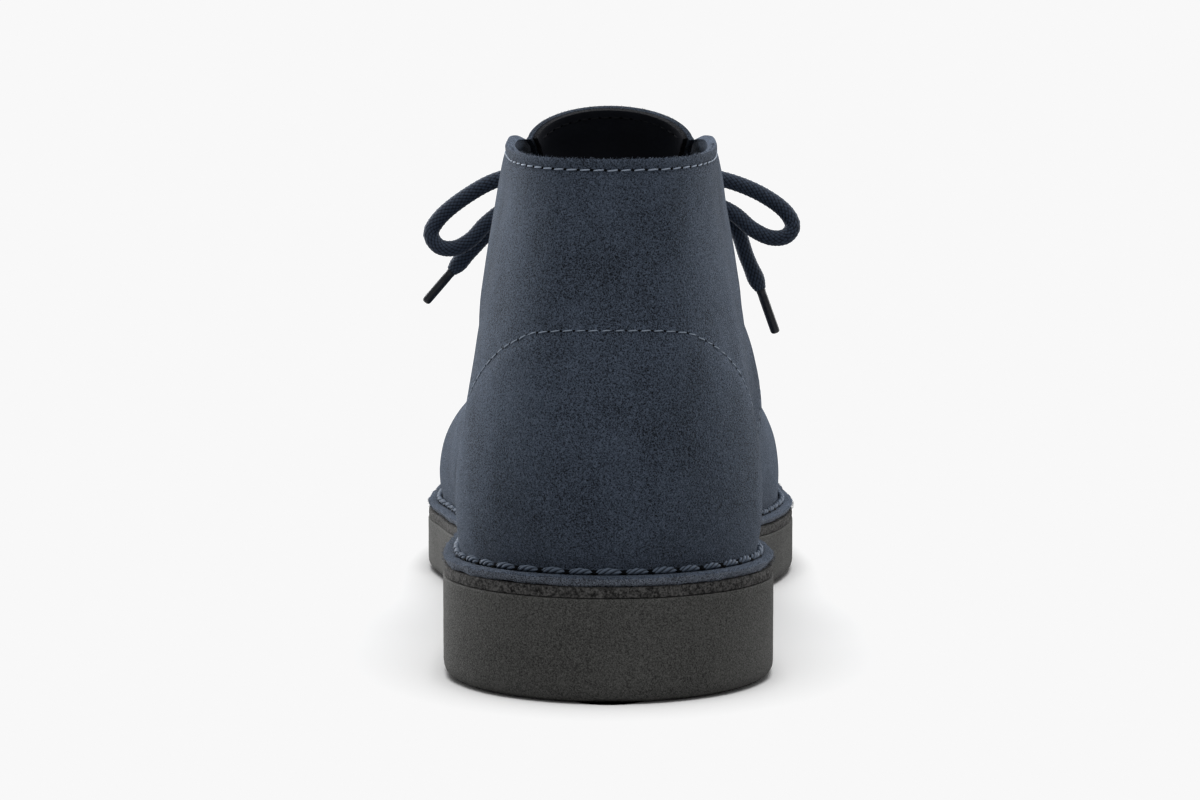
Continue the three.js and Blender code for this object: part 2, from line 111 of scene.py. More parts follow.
class Table:
    """Rows of numbers with named columns, read smoothly between the rows by the first column."""

    def __init__(self, names, rows):
        self.names = names.split()
        self.rows = np.array(rows, float)

    def __call__(self, name, at):
        keys = self.rows[:, 0]
        values = self.rows[:, self.names.index(name)]
        gaps = np.diff(keys)
        slopes = np.diff(values) / gaps
        before, after = slopes[:-1], slopes[1:]
        both = before * after
        total = np.where(before + after == 0, 1, before + after)
        inner = np.where(both > 0, 2 * both / total, 0)
        bends = np.concatenate([slopes[:1], inner, slopes[-1:]])
        at = np.clip(at, keys[0], keys[-1])
        row = np.clip(np.searchsorted(keys, at, "right") - 1, 0, len(gaps) - 1)
        t = (at - keys[row]) / gaps[row]
        return (
            values[row] * (1 + 2 * t) * (1 - t) ** 2
            + bends[row] * gaps[row] * t * (1 - t) ** 2
            + values[row + 1] * t * t * (3 - 2 * t)
            - bends[row + 1] * gaps[row] * t * t * (1 - t)
        )


# Sole edge forward of the heel: distance out from the heel's centre line on each side.
SOLE_EDGE = Table("along lateral medial", [
    [0, 37.9, 37.9],
    [35, 37.3, 35.6],
    [70, 36.8, 33.6],
    [100, 39.6, 38.8],
    [130, 46.2, 49.2],
    [152, 51.0, 53.2],
    [190, 49.0, 51.0],
    [215, 42.2, 46.0],
    [237, 30.2, 36.4],
    [252, 17.8, 25.6],
    [259, 8.4, 16.8],
])

# Outsole from the side: heel, low arch, ball and toe spring.
SOLE_PROFILE = Table("along under top", [
    [-38, 0, 23.0],
    [0, 0, 22.8],
    [35, 0, 21.8],
    [52, 0, 20.6],
    [66, 3.4, 19.2],
    [88, 4.6, 16.8],
    [108, 1.6, 15.2],
    [122, 0, 14.6],
    [168, 0, 14.6],
    [200, 2.2, 16.6],
    [232, 7.2, 20.8],
    [262, 14.2, 26.6],
])

# Ribs of the upper from the heel's back (0) round to the toe (1): where each one's top is,
# whether it ends upright at the collar (up 1) or flat across the instep (up 0), how far it
# leans in there (degrees), its two handles, its swell above the sole (degrees), and what
# the inner side has more of (degrees, and per cent of the pull).
RIBS = Table("at centre out along height up tilt pull spring lean arch", [
    [0.000, 0.7, 0.0, -25.5, 117.3, 1, 4, 34, 28, 14, 0],
    [0.050, 0.7, 11.6, -22.3, 117.6, 1, 6, 34, 28, 15, 0],
    [0.100, 0.7, 19.3, -13.8, 118.4, 1, 3, 34, 27, 15, 0],
    [0.153, 0.7, 23.1, -1.0, 119.6, 1, 1, 30, 26, 14, 0],
    [0.210, 0.7, 24.2, 18.0, 121.2, 1, 10, 30, 24, 4, 2],
    [0.254, 0.7, 24.1, 33.0, 122.4, 0.97, 17, 30, 22, -3, 6],
    [0.297, 0.7, 22.9, 48.0, 122.8, 0.85, 17, 28, 25, -3, 14],
    [0.332, 0.7, 19.4, 59.5, 120.8, 0.62, 15, 26, 26, 1, 18],
    [0.356, 0.7, 14.6, 66.0, 113.4, 0.35, 13, 25, 28, 4, 20],
    [0.385, 0.7, 12.0, 73.5, 103.4, 0.12, 13, 24, 28, 8, 22],
    [0.414, 0.7, 10.6, 81.5, 94.0, 0, 13, 28, 27, 12, 21],
    [0.443, 1.0, 9.0, 91.0, 85.5, 0, 13, 31, 26, 15, 18],
    [0.466, 1.2, 6.6, 99.5, 79.6, 0, 13, 32, 23, 17, 12],
    [0.484, 1.4, 0.0, 106.0, 76.4, 0, 13, 33, 25, 17, 5],
    [0.520, 2.2, 0.0, 122.0, 70.2, 0, 13, 38, 26, 17, -2],
    [0.589, 4.0, 0.0, 148.0, 63.2, 0, 13, 40, 24, 16, -7],
    [0.665, 5.4, 0.0, 175.0, 58.6, 0, 13, 39, 21, 12, -4],
    [0.735, 6.2, 0.0, 199.0, 56.2, 0, 13, 32, 20, 8, 0],
    [0.800, 6.2, 0.0, 219.0, 54.6, 0, 13, 25, 18, 7, 0],
    [0.870, 5.8, 0.0, 235.0, 52.0, 0, 13, 15, 15, 7, 0],
    [0.940, 5.0, 0.0, 246.5, 47.2, 0, 13, 9, 12, 7, 0],
    [1.000, 4.6, 0.0, 253.0, 42.4, 0, 13, 5, 7, 7, 0],
])

# Tongue along its middle line, from under the vamp to its arched top.
TONGUE = Table("step centre along height half radius", [
    [0.00, 1.6, 121.1, 66.5, 10, 30],
    [0.19, 1.2, 104.4, 72.9, 12.5, 28],
    [0.36, 0.9, 92.2, 81.7, 15.5, 25],
    [0.54, 0.8, 80.6, 93.0, 17.5, 23.5],
    [0.68, 0.6, 73.0, 103.0, 18.5, 22.5],
    [0.80, 1.0, 67.9, 112.7, 18.9, 21],
    [0.90, 0.8, 66.4, 121.4, 19.0, 20.6],
    [0.95, 0.8, 64.9, 125.8, 19.4, 20.8],
    [1.00, 0.5, 62.7, 130.2, 20.2, 21.3],
])

# Where the quarters' front edge crosses the ribs, by its share of the way up a rib.
QUARTER_EDGE = Table("share at", [
    [0.00, 0.404],
    [0.25, 0.422],
    [0.50, 0.443],
    [0.75, 0.465],
    [1.00, 0.484],
])

# Height of the heel counter's stitch row, by where it crosses the ribs.
COUNTER_ROW = Table("at height", [
    [0.000, 80.5],
    [0.030, 80.4],
    [0.060, 79.7],
    [0.080, 77.6],
    [0.100, 75.0],
    [0.120, 71.5],
    [0.134, 68.0],
    [0.155, 61.5],
    [0.170, 55.0],
    [0.185, 45.0],
    [0.195, 34.0],
    [0.200, 26.0],
])


# ---------- shape of the boot ----------
def unit(v):
    return v / np.maximum(np.linalg.norm(v, axis=-1, keepdims=True), 1e-12)


def smooth_line(corners, per_span):
    """A centripetal curve through the corners."""
    p = np.array(corners, float)
    p = np.vstack([2 * p[0] - p[1], p, 2 * p[-1] - p[-2]])
    t = np.arange(per_span)[:, None] / per_span
    runs = []
    for a, b, c, d in zip(p[:-3], p[1:-2], p[2:-1], p[3:]):
        ab, bc, cd = (math.sqrt(np.linalg.norm(v)) for v in (b - a, c - b, d - c))
        leaving = (b - a) / ab * bc - (c - a) / (ab + bc) * bc + (c - b)
        arriving = (c - b) - (d - b) / (bc + cd) * bc + (d - c) / cd * bc
        square = -3 * b + 3 * c - 2 * leaving - arriving
        cube = 2 * b - 2 * c + leaving + arriving
        runs.append(b + leaving * t + square * t ** 2 + cube * t ** 3)
    return np.vstack([*runs, p[-2:-1]])


def lengths_along(points):
    steps = np.linalg.norm(np.diff(points, axis=0), axis=1)
    return np.concatenate([[0], np.cumsum(steps)])


def evenly(points, count):
    """The same line with evenly spaced points."""
    travelled = lengths_along(points)
    wanted = np.linspace(0, travelled[-1], count)
    return np.stack([np.interp(wanted, travelled, points[:, k]) for k in range(points.shape[1])], 1)


EDGE_SAMPLES = 24


def edge_samples(side):
    sign = SIDES[side]
    other = "medial" if side == "lateral" else "lateral"
    corners = []
    for degrees in (-20, 0, 20, 45, 70):
        turn = math.radians(degrees)
        corners.append((sign * HEEL_RADIUS * math.sin(turn), HEEL_BACK * math.cos(turn)))
    column = SOLE_EDGE.names.index(side)
    corners += [(sign * row[column], row[0]) for row in SOLE_EDGE.rows]
    corners.append(TOE_TIP)
    last = SOLE_EDGE.rows[-1]
    corners.append((-sign * last[SOLE_EDGE.names.index(other)], last[0]))
    line = smooth_line(corners, EDGE_SAMPLES)
    way = unit(np.gradient(line, axis=0))
    kept = slice(EDGE_SAMPLES, -EDGE_SAMPLES)
    return line[kept], way[kept]


EDGE = {side: edge_samples(side) for side in SIDES}


def edge_at(side, fraction):
    """Places on the sole's edge at fractions of its half length, and the level ways in."""
    line, way = EDGE[side]
    travelled = lengths_along(line)
    wanted = np.clip(fraction, 0, 1) * travelled[-1]
    x, y = (np.interp(wanted, travelled, line[:, k]) for k in range(2))
    ahead_x, ahead_y = (np.interp(wanted, travelled, way[:, k]) for k in range(2))
    inward = unit(np.stack([-ahead_y, ahead_x], -1)) * SIDES[side]
    inward = np.where(np.asarray(fraction)[..., None] >= 1, (0.0, -1.0), inward)
    flat = np.zeros_like(x)[..., None]
    place = np.concatenate([np.stack([x, y], -1), flat], -1)
    return place, np.concatenate([inward, flat], -1)


def sole_top(along):
    return SOLE_PROFILE("top", along)


def flange_top(along):
    return sole_top(along) + MIDSOLE_THICK + 2 * LAYER_GAP + WALL


def inset_edge(side, fraction, inset, height_at, lift=0.0):
    """The sole's edge drawn in by an inset, at the height that height_at gives there."""
    place, inward = edge_at(side, fraction)
    spot = place + inward * np.asarray(inset)[..., None]
    spot[..., 2] = height_at(spot[..., 1]) + lift
    return spot


def all_round(medial, lateral):
    """Both sides' rows as one closed round: up the inner side and back down the outer."""
    return np.vstack([medial, lateral[-2:0:-1]])


def flange_round(inset, lift):
    """A closed line round the flange, and the level ways in from it."""
    fractions = np.linspace(0, 1, 240)
    insets = np.full(fractions.shape, inset)
    sides = ("medial", "lateral")
    line = all_round(*(inset_edge(side, fractions, insets, flange_top, lift) for side in sides))
    return line, all_round(*(edge_at(side, fractions)[1] for side in sides))


def top_line_ahead(at):
    reach = 0.004
    ends = np.clip(at - reach, 0, 1), np.clip(at + reach, 0, 1)
    along = RIBS("along", ends[1]) - RIBS("along", ends[0])
    height = RIBS("height", ends[1]) - RIBS("height", ends[0])
    return unit(np.stack([np.zeros_like(along), along, height], -1))


def wall(side, at, share):
    """The upper's outside, share of the way up the ribs that stand at these fractions."""
    at, share = np.broadcast_arrays(np.asarray(at, float), np.asarray(share, float))
    sign = SIDES[side]
    value = {name: RIBS(name, at)[..., None] for name in RIBS.names[1:]}
    _, inward = edge_at(side, at)
    foot = inset_edge(side, at, np.full(at.shape, FLANGE_WIDTH), flange_top)
    top = np.concatenate([value["centre"] + sign * value["out"], value["along"], value["height"]], -1)
    arch = value["arch"] if side == "medial" else 0 * value["arch"]
    lean = np.radians(value["lean"] + arch)
    rising = -inward * np.sin(lean) + Z_AXIS * np.cos(lean)
    ahead = top_line_ahead(at)
    proud = np.stack([ahead[..., 0], -ahead[..., 2], ahead[..., 1]], -1)
    level = unit(X_AXIS * inward[..., :1] + ahead * inward[..., 1:2])
    slope = np.arcsin(np.minimum(value["out"] / INSTEP_RADIUS, 1))
    across = level * np.cos(slope) + proud * np.sin(slope)
    tilt = np.radians(value["tilt"])
    upright = inward * np.sin(tilt) + Z_AXIS * np.cos(tilt)
    arriving = unit(across + (upright - across) * value["up"])
    low = foot + rising * value["spring"]
    high = top - arriving * value["pull"] * (1 + arch / 100)
    t = share[..., None]
    return (
        foot * (1 - t) ** 3
        + 3 * low * t * (1 - t) ** 2
        + 3 * high * t * t * (1 - t)
        + top * t ** 3
    )


def wall_outward(side, at, share):
    """Unit ways out of the upper's outside."""
    reach = 0.003
    a0, a1 = np.clip(at - reach, 0, 1), np.clip(at + reach, 0, 1)
    s0, s1 = np.clip(share - reach, 0, 1), np.clip(share + reach, 0, 1)
    along = wall(side, a1, share) - wall(side, a0, share)
    up = wall(side, at, s1) - wall(side, at, s0)
    return unit(np.cross(along, up)) * SIDES[side]


def share_below_top(side, at, drop):
    """How far up its rib a place is that lies a distance below the rib's top."""
    steps = np.linspace(0, 1, 200)
    shares = []
    for station in np.atleast_1d(at):
        rib = wall(side, np.full(steps.shape, station), steps)
        travelled = lengths_along(rib)
        shares.append(np.interp(travelled[-1] - drop, travelled, steps))
    return np.array(shares)


def share_at_height(side, at, height):
    """How far up its rib a place is that has a height."""
    steps = np.linspace(0, 1, 200)
    shares = []
    for station, level in zip(at, height):
        rib = wall(side, np.full(steps.shape, station), steps)
        shares.append(np.interp(level, rib[:, 2], steps))
    return np.array(shares)


def quarter_edge(share):
    return QUARTER_EDGE("at", share)


def eyelet_place(side, at):
    share = share_below_top(side, at, EYELET_SETBACK)
    at = np.full(share.shape, at)
    return wall(side, at, share)[0], wall_outward(side, at, share)[0]


# ---------- node benches ----------
class Wire:
    """A node's socket that can be used in sums."""

    def __init__(self, bench, socket):
        self.bench = bench
        self.socket = socket

    def part(self, name):
        """Another output of the same node."""
        return Wire(self.bench, self.socket.node.outputs[name])

    def sum(self, operation, first, second):
        spread = [v for v in (first, second) if isinstance(v, tuple)]
        spread += [v for v in (first, second) if isinstance(v, Wire) and v.socket.type == "VECTOR"]
        kind = "ShaderNodeVectorMath" if spread else "ShaderNodeMath"
        if spread:
            first, second = ((v,) * 3 if isinstance(v, (int, float)) else v for v in (first, second))
        return self.bench.make(kind, {"operation": operation}, {0: first, 1: second})

    def __add__(self, other):
        return self.sum("ADD", self, other)

    __radd__ = __add__

    def __sub__(self, other):
        return self.sum("SUBTRACT", self, other)

    def __rsub__(self, other):
        return self.sum("SUBTRACT", other, self)

    def __mul__(self, other):
        return self.sum("MULTIPLY", self, other)

    __rmul__ = __mul__

    def __truediv__(self, other):
        return self.sum("DIVIDE", self, other)

    def __pow__(self, other):
        return self.sum("POWER", self, other)


class Bench:
    """A node tree, and the one way that nodes are put in it."""

    def __init__(self, tree):
        self.tree = tree

    def make(self, kind, settings=None, sockets=None, output=0):
        node = self.tree.nodes.new(kind)
        for name, value in (settings or {}).items():
            setattr(node, name, value)
        for name, value in (sockets or {}).items():
            if isinstance(value, Wire):
                self.tree.links.new(value.socket, node.inputs[name])
            else:
                node.inputs[name].default_value = value
        return Wire(self, node.outputs[output]) if len(node.outputs) else node

    def shape(self, kind, settings=None, **sockets):
        """A geometry node by the last part of its name, with its sockets by name."""
        sockets = {name.replace("_", " "): value for name, value in sockets.items()}
        return self.make("GeometryNode" + kind, settings, sockets)

    def spaced(self, mesh, step):
        """A mesh of edges as a line with a point at every step."""
        line = self.shape("MeshToCurve", Mesh=mesh)
        return self.shape("ResampleCurve", {"mode": "LENGTH"}, Curve=line, Length=step)

    def copied(self, piece):
        """The geometry of another piece."""
        return self.make("GeometryNodeObjectInfo", {}, {"Object": piece}, "Geometry")

    def clamp(self, value):
        return self.make("ShaderNodeClamp", {}, {"Value": value})

    def maths(self, operation, first, second=0.0):
        return self.make("ShaderNodeMath", {"operation": operation}, {0: first, 1: second})

    def ramp(self, value, low, high):
        """0 below low, 1 above high, and smooth between."""
        sockets = {"Value": value, "From Min": low, "From Max": high}
        return self.make("ShaderNodeMapRange", {"interpolation_type": "SMOOTHSTEP"}, sockets)


CONSTANT_SOCKETS = {
    "specular": "Specular IOR Level",
    "sheen": "Sheen Weight",
    "sheen_roughness": "Sheen Roughness",
    "sheen_tint": "Sheen Tint",
}


class Paint(Bench):
    """The bench of one material, whose patterns follow the piece's own place in millimetres."""

    def __init__(self, name):
        self.material = bpy.data.materials.new(name)
        self.material.use_nodes = True
        super().__init__(self.material.node_tree)
        self.tree.nodes.clear()
        place = self.make("ShaderNodeTexCoord", output="Object")
        self.place = place * (1 / MM)

    def cloudy(self, size, detail=2.0, roughness=0.5, stretch=None):
        """Soft noise from 0 to 1 whose lumps are about size millimetres across."""
        place = self.place * stretch if stretch else self.place
        sockets = {"Vector": place, "Scale": 1 / size, "Detail": detail, "Roughness": roughness}
        return self.make("ShaderNodeTexNoise", {}, sockets)

    def cells(self, size):
        return self.make("ShaderNodeTexVoronoi", {}, {"Vector": self.place, "Scale": 1 / size})

    def mark(self, name):
        """A value that the mesh carries."""
        return self.make("ShaderNodeAttribute", {"attribute_name": name}, output="Fac")

    def blend(self, factor, first, second):
        """The first colour where the factor is 0, the second where it is 1."""
        sockets = {0: factor}
        for slot, colour in ((6, first), (7, second)):
            sockets[slot] = colour if isinstance(colour, Wire) else (*colour, 1)
        return self.make("ShaderNodeMix", {"data_type": "RGBA"}, sockets, output=2)

    def bump(self, height, distance, strength=1.0):
        sockets = {"Height": height, "Distance": distance * MM, "Strength": strength}
        return self.make("ShaderNodeBump", {}, sockets)

    def done(self, colour, roughness, normal=None, **constants):
        """The finished material, with its constants by their short names."""
        sockets = {"Base Color": colour, "Roughness": roughness}
        if normal:
            sockets["Normal"] = normal
        for name, value in constants.items():
            sockets[CONSTANT_SOCKETS[name]] = value
        surface = self.make("ShaderNodeBsdfPrincipled", {}, sockets)
        self.make("ShaderNodeOutputMaterial", {}, {"Surface": surface})
        return self.material


def tone(red, green, blue):
    """A colour as it is mixed, from its everyday 0 to 255 values."""
    def linear(value):
        value /= 255
        return value / 12.92 if value <= 0.04045 else ((value + 0.055) / 1.055) ** 2.4
    return tuple(linear(value) for value in (red, green, blue))


def toned(colour, share):
    return tuple(value * share for value in colour)


# ---------- materials ----------
SUEDE_BLUE = tone(71, 80, 94)


def suede(name, base, lighter=1.0):
    """Brushed suede: nap clumps, faint brushing marks, and short fibres that catch the light."""
    paint = Paint(name)
    brushed = paint.cloudy(34, 3, 0.55)
    patches = paint.cloudy(7, 3, 0.6, (1.0, 1.0, 0.55))
    clumps = paint.cloudy(0.42, 2, 0.6)
    fibres = paint.cloudy(0.26, 2, 0.7)
    shade = paint.ramp(brushed, 0.3, 0.7) * 0.12 + paint.ramp(patches, 0.25, 0.75) * 0.09
    nap = paint.ramp(clumps, 0.25, 0.75) * 0.36 + paint.ramp(fibres, 0.25, 0.75) * 0.67
    level = shade + nap
    dark = toned(base, 0.02 * lighter)
    light = toned(base, 2.0 * lighter)
    colour = paint.blend(paint.ramp(level, 0.16, 1.06), dark, light)
    normal = paint.bump(clumps * 0.7 + fibres, 0.7, 1.0)
    sheen = {"sheen": 0.1, "sheen_roughness": 0.3, "sheen_tint": (0.84, 0.92, 1.0, 1)}
    return paint.done(colour, 0.84 + nap * 0.14, normal, specular=0.06, **sheen)


def lining():
    """Smooth black lining leather with a fine grain."""
    paint = Paint("lining")
    grain = paint.cells(0.9)
    soft = paint.cloudy(12, 2)
    colour = paint.blend(soft, tone(26, 27, 32), tone(46, 49, 57))
    normal = paint.bump(grain + soft * 0.4, 0.08, 0.5)
    return paint.done(colour, 0.6 + soft * 0.2, normal, specular=0.12)


def insole_cloth():
    paint = Paint("insole_cloth")
    weave = paint.cells(0.7)
    worn = paint.cloudy(20, 2)
    colour = paint.blend(worn, tone(12, 12, 14), tone(24, 24, 27))
    return paint.done(colour, 0.85 + weave * 0.1, paint.bump(weave, 0.12, 0.6), specular=0.2)


def grey_rubber():
    """Matt foamed rubber with a fine sanded grain, paler where the lower edge is scuffed."""
    paint = Paint("grey_rubber")
    broad = paint.cloudy(24, 3, 0.5)
    grain = paint.cloudy(0.4, 2, 0.7)
    dust = paint.cloudy(0.24, 2, 0.6)
    pits = 1 - paint.ramp(paint.cells(0.8), 0.08, 0.3)
    level = broad * 0.12 + grain * 0.44 + dust * 0.44
    colour = paint.blend(paint.ramp(level, 0.3, 0.7), tone(16, 16, 16), tone(103, 103, 101))
    colour = paint.blend(pits * 0.4, colour, tone(26, 26, 26))
    scuffs = paint.ramp(paint.cloudy(3.5, 4, 0.7), 0.5, 0.72) * paint.mark("scuffed")
    colour = paint.blend(scuffs * 0.55, colour, tone(92, 92, 90))
    normal = paint.bump(grain + dust * 0.6 - pits * 0.5, 0.3, 0.7)
    return paint.done(colour, 0.84 + grain * 0.12, normal, specular=0.2)


def dark_rubber():
    """Coarse dark layer between the flange and the sole, sanded at its edge."""
    paint = Paint("dark_rubber")
    grain = paint.cloudy(0.5, 3, 0.75)
    clods = paint.cloudy(1.1, 3, 0.65)
    level = paint.ramp(grain * 0.6 + clods * 0.4, 0.38, 0.66)
    colour = paint.blend(level, tone(20, 20, 20), tone(104, 103, 102))
    return paint.done(colour, 0.9, paint.bump(grain + clods, 0.5, 0.9), specular=0.15)


def braided_cotton():
    """Round braid: pale strands, painted shade in the gaps between them, and a light bloom of loose
    fibre.
    """
    paint = Paint("braided_cotton")
    raised = paint.ramp(paint.mark("valley"), 0.1, 0.8)
    strands = paint.cloudy(0.26, 2, 0.7)
    fade = paint.cloudy(9, 2)
    colour = paint.blend(strands * 0.7 + fade * 0.3, tone(32, 39, 51), tone(76, 89, 109))
    # Painted shade: where the braid sinks between its strands, the colour goes to near black.
    colour = paint.blend(raised, tone(7, 9, 14), colour)
    normal = paint.bump(strands, 0.12, 0.6)
    return paint.done(colour, 0.84, normal, specular=0.2, sheen=0.12, sheen_roughness=0.4)


def thread(name, shade, light):
    """Twisted thread, with painted shade between its plies and a painted highlight where they stand out.
    """
    paint = Paint(name)
    fuzz = paint.cloudy(0.22, 2, 0.6)
    # Painted light: the raised mark gives the light colour on each ply's outer face or a single thread's
    # top, and the shade colour between and underneath.
    level = paint.ramp(paint.mark("raised"), 0.25, 0.85) * 0.75 + fuzz * 0.25
    colour = paint.blend(level, shade, light)
    return paint.done(colour, 0.7 + fuzz * 0.1, paint.bump(fuzz, 0.06, 0.6), specular=0.3)


# Painted shade: a near-black disc stands for the dark inside of each needle hole.
def needle_hole():
    paint = Paint("needle_hole")
    colour = paint.blend(paint.cloudy(0.3), tone(4, 5, 7), tone(12, 14, 18))
    return paint.done(colour, 0.95, specular=0.05)


def aglet_plastic():
    paint = Paint("aglet_plastic")
    scuffs = paint.cloudy(1.2, 3, 0.6, (1.0, 1.0, 0.3))
    colour = paint.blend(scuffs, tone(16, 19, 25), tone(32, 37, 46))
    return paint.done(colour, 0.3 + scuffs * 0.25, paint.bump(scuffs, 0.04, 0.4), specular=0.5)


MATERIALS = {
    "suede": suede("navy_suede", SUEDE_BLUE),
    "raw_edge": suede("raw_edge", SUEDE_BLUE, 1.4),
    # The flange's cut edge: paler cut fibre, and a painted highlight where its lip catches the light from
    # above.
    "flange_edge": suede("flange_edge", tone(76, 81, 90), 2.1),
    # Loose fibre: paler than the face, and lightened further as a painted highlight along the collar's
    # rim.
    "nap": suede("loose_nap", tone(76, 82, 92), 4.5),
    "tongue": suede("tongue_suede", SUEDE_BLUE, 0.8),
    "tongue_edge": suede("tongue_edge", SUEDE_BLUE, 0.75),
    "lining_edge": suede("lining_edge", tone(60, 60, 64), 0.5),
    "lining": lining(),
    "insole": insole_cloth(),
    "rubber": grey_rubber(),
    "band": dark_rubber(),
    "lace": braided_cotton(),
    "aglet": aglet_plastic(),
    # Each thread's two colours are its painted shade and its painted highlight.
    "thread": thread("pale_thread", tone(70, 80, 94), tone(160, 172, 190)),
    "fine_thread": thread("fine_thread", tone(60, 68, 80), tone(140, 152, 168)),
    "dark_thread": thread("dark_thread", tone(14, 15, 18), tone(34, 36, 42)),
    "sole_cord": thread("sole_cord", tone(8, 10, 15), tone(92, 104, 121)),
    "hole": needle_hole(),
}


# ---------- piece making ----------
def mesh_of(name, points, faces, marks=None, edges=()):
    """A mesh from points in millimetres, its faces, and values that it carries."""
    mesh = bpy.data.meshes.new(name)
    mesh.from_pydata((np.asarray(points) * MM).tolist(), edges, faces)
    for key, values in (marks or {}).items():
        values = np.asarray(values, np.float32)
        kind, field = ("FLOAT", "value") if values.ndim == 1 else ("FLOAT_VECTOR", "vector")
        mesh.attributes.new(key, kind, "POINT").data.foreach_set(field, values.ravel())
    return mesh


def line_of(name, points, marks=None, closed=False):
    """A line of points as a mesh of edges, for a tree to follow."""
    edges = [(i, i + 1) for i in range(len(points) - 1)]
    if closed:
        edges.append((len(points) - 1, 0))
    return mesh_of(name, points, [], marks, edges)


def ring_points(centre, across, up, radius, sides):
    """Points round a circle that across and up span."""
    turns = (2 * math.pi * np.arange(sides) / sides)[:, None]
    return list(centre + (across * np.cos(turns) + up * np.sin(turns)) * radius)


def ring_faces(rings, sides, start=0):
    """Faces between rings of points that follow each other."""
    faces = []
    for first in range(start, start + (rings - 1) * sides, sides):
        for k in range(sides):
            a, b = first + k, first + (k + 1) % sides
            faces.append((a, b, b + sides, a + sides))
    return faces


def mended(mesh, weld=None, outward=True):
    """The mesh with points that meet made one, and its faces turned outwards."""
    shape = bmesh.new()
    shape.from_mesh(mesh)
    if weld:
        bmesh.ops.remove_doubles(shape, verts=shape.verts, dist=weld)
    if outward:
        bmesh.ops.recalc_face_normals(shape, faces=shape.faces)
    shape.to_mesh(mesh)
    shape.free()
    return mesh


def placed(name, mesh):
    piece = bpy.data.objects.new(name, mesh)
    bpy.context.scene.collection.objects.link(piece)
    return piece


def settled(piece):
    """The piece with its modifiers worked into its mesh."""
    bpy.context.view_layer.update()
    graph = bpy.context.evaluated_depsgraph_get()
    mesh = bpy.data.meshes.new_from_object(piece.evaluated_get(graph))
    name = piece.name
    bpy.data.objects.remove(piece)
    mesh.polygons.foreach_set("use_smooth", np.ones(len(mesh.polygons), bool))
    return placed(name, mesh)


def grown(name, source, tree, **inputs):
    """What a geometry tree makes of a source mesh, as a plain piece."""
    piece = placed(name, source)
    growth = piece.modifiers.new("growth", "NODES")
    growth.node_group = tree
    for item in tree.interface.items_tree:
        if item.item_type == "SOCKET" and item.in_out == "INPUT" and item.name in inputs:
            growth[item.identifier] = inputs[item.name]
    return settled(piece)


def new_tree(name, **inputs):
    """A geometry tree with a named input for each size, and its bench and inputs."""
    tree = bpy.data.node_groups.new(name, "GeometryNodeTree")
    tree.interface.new_socket("Geometry", in_out="INPUT", socket_type="NodeSocketGeometry")
    for key, value in inputs.items():
        if isinstance(value, str):
            tree.interface.new_socket(key, in_out="INPUT", socket_type=value)
        else:
            kind = "NodeSocketInt" if isinstance(value, int) else "NodeSocketFloat"
            tree.interface.new_socket(key, in_out="INPUT", socket_type=kind).default_value = value
    tree.interface.new_socket("Geometry", in_out="OUTPUT", socket_type="NodeSocketGeometry")
    bench = Bench(tree)
    return tree, bench, bench.make("NodeGroupInput")


def end_tree(bench, *branches):
    """Joins branches of (geometry, material) and realizes them."""
    joined = bench.shape("JoinGeometry")
    for geometry, material in branches:
        real = bench.shape("RealizeInstances", Geometry=geometry)
        sockets = {"Geometry": real}
        if isinstance(material, Wire):
            sockets["Material"] = material
        painted = bench.make("GeometryNodeSetMaterial", {}, sockets)
        if not isinstance(material, Wire):
            painted.socket.node.inputs["Material"].default_value = MATERIALS[material]
        bench.tree.links.new(painted.socket, joined.socket.node.inputs["Geometry"])
    bench.make("NodeGroupOutput", {}, {"Geometry": joined})


def stored(bench, geometry, name, value):
    settings = {"data_type": "FLOAT", "domain": "POINT"}
    return bench.shape("StoreNamedAttribute", settings, Geometry=geometry, Name=name, Value=value)


def carried(bench, name, kind="FLOAT"):
    return bench.shape("InputNamedAttribute", {"data_type": kind}, Name=name)


# ---------- laces ----------
def braid_tree():
    """A braided cord along a line: a tube whose skin has crossing strands."""
    tree, bench, given = new_tree(
        "braided_cord",
        Thickness=LACE_THICK * MM,
        Step=0.3 * MM,
        Sides=48,
        Strands=12.0,
        Plait=1.5 * MM,
        Depth=0.26 * MM,
    )
    swell = carried(bench, "swell")
    line = bench.shape("SetCurveRadius", Curve=bench.spaced(given, given.part("Step")), Radius=swell)
    line = stored(bench, line, "along", bench.make("GeometryNodeSplineParameter", output="Length"))
    radius = given.part("Thickness") * 0.5
    ring = bench.shape("CurvePrimitiveCircle", Resolution=given.part("Sides"), Radius=radius)
    ring = stored(bench, ring, "around", bench.make("GeometryNodeSplineParameter", output="Factor"))
    tube = bench.shape("CurveToMesh", Curve=line, Profile_Curve=ring, Fill_Caps=True, Scale=swell)
    turns = carried(bench, "around") * given.part("Strands")
    plaits = carried(bench, "along") / given.part("Plait")

    def ridge(value):
        return bench.maths("ABSOLUTE", bench.maths("SINE", value * math.pi))

    height = (ridge(turns + plaits) * ridge(turns - plaits)) ** 0.6
    tube = stored(bench, tube, "valley", height)
    offset = bench.shape("InputNormal") * ((carried(bench, "valley") - 0.6) * given.part("Depth"))
    tube = bench.shape("SetPosition", Geometry=tube, Offset=offset)
    end_tree(bench, (tube, "lace"))
    return tree


BRAID = braid_tree()


def braided(name, route, swell=None):
    """A braided lace through route corners, and its centre line."""
    line = smooth_line(route, 12)
    line = evenly(line, max(12, int(lengths_along(line)[-1] / 1.2)))
    thickness = np.ones(len(line)) if swell is None else swell(np.linspace(0, 1, len(line)))
    piece = grown(name, line_of(name, line, {"swell": thickness}), BRAID)
    return piece, line


def towards_aglet(share):
    """The lace swells a little just before its tip grips it."""
    swell = 1 + 0.12 * np.exp(-((share - 0.93) / 0.035) ** 2)
    return np.where(share > 0.965, swell - (share - 0.965) * 9.5, swell)
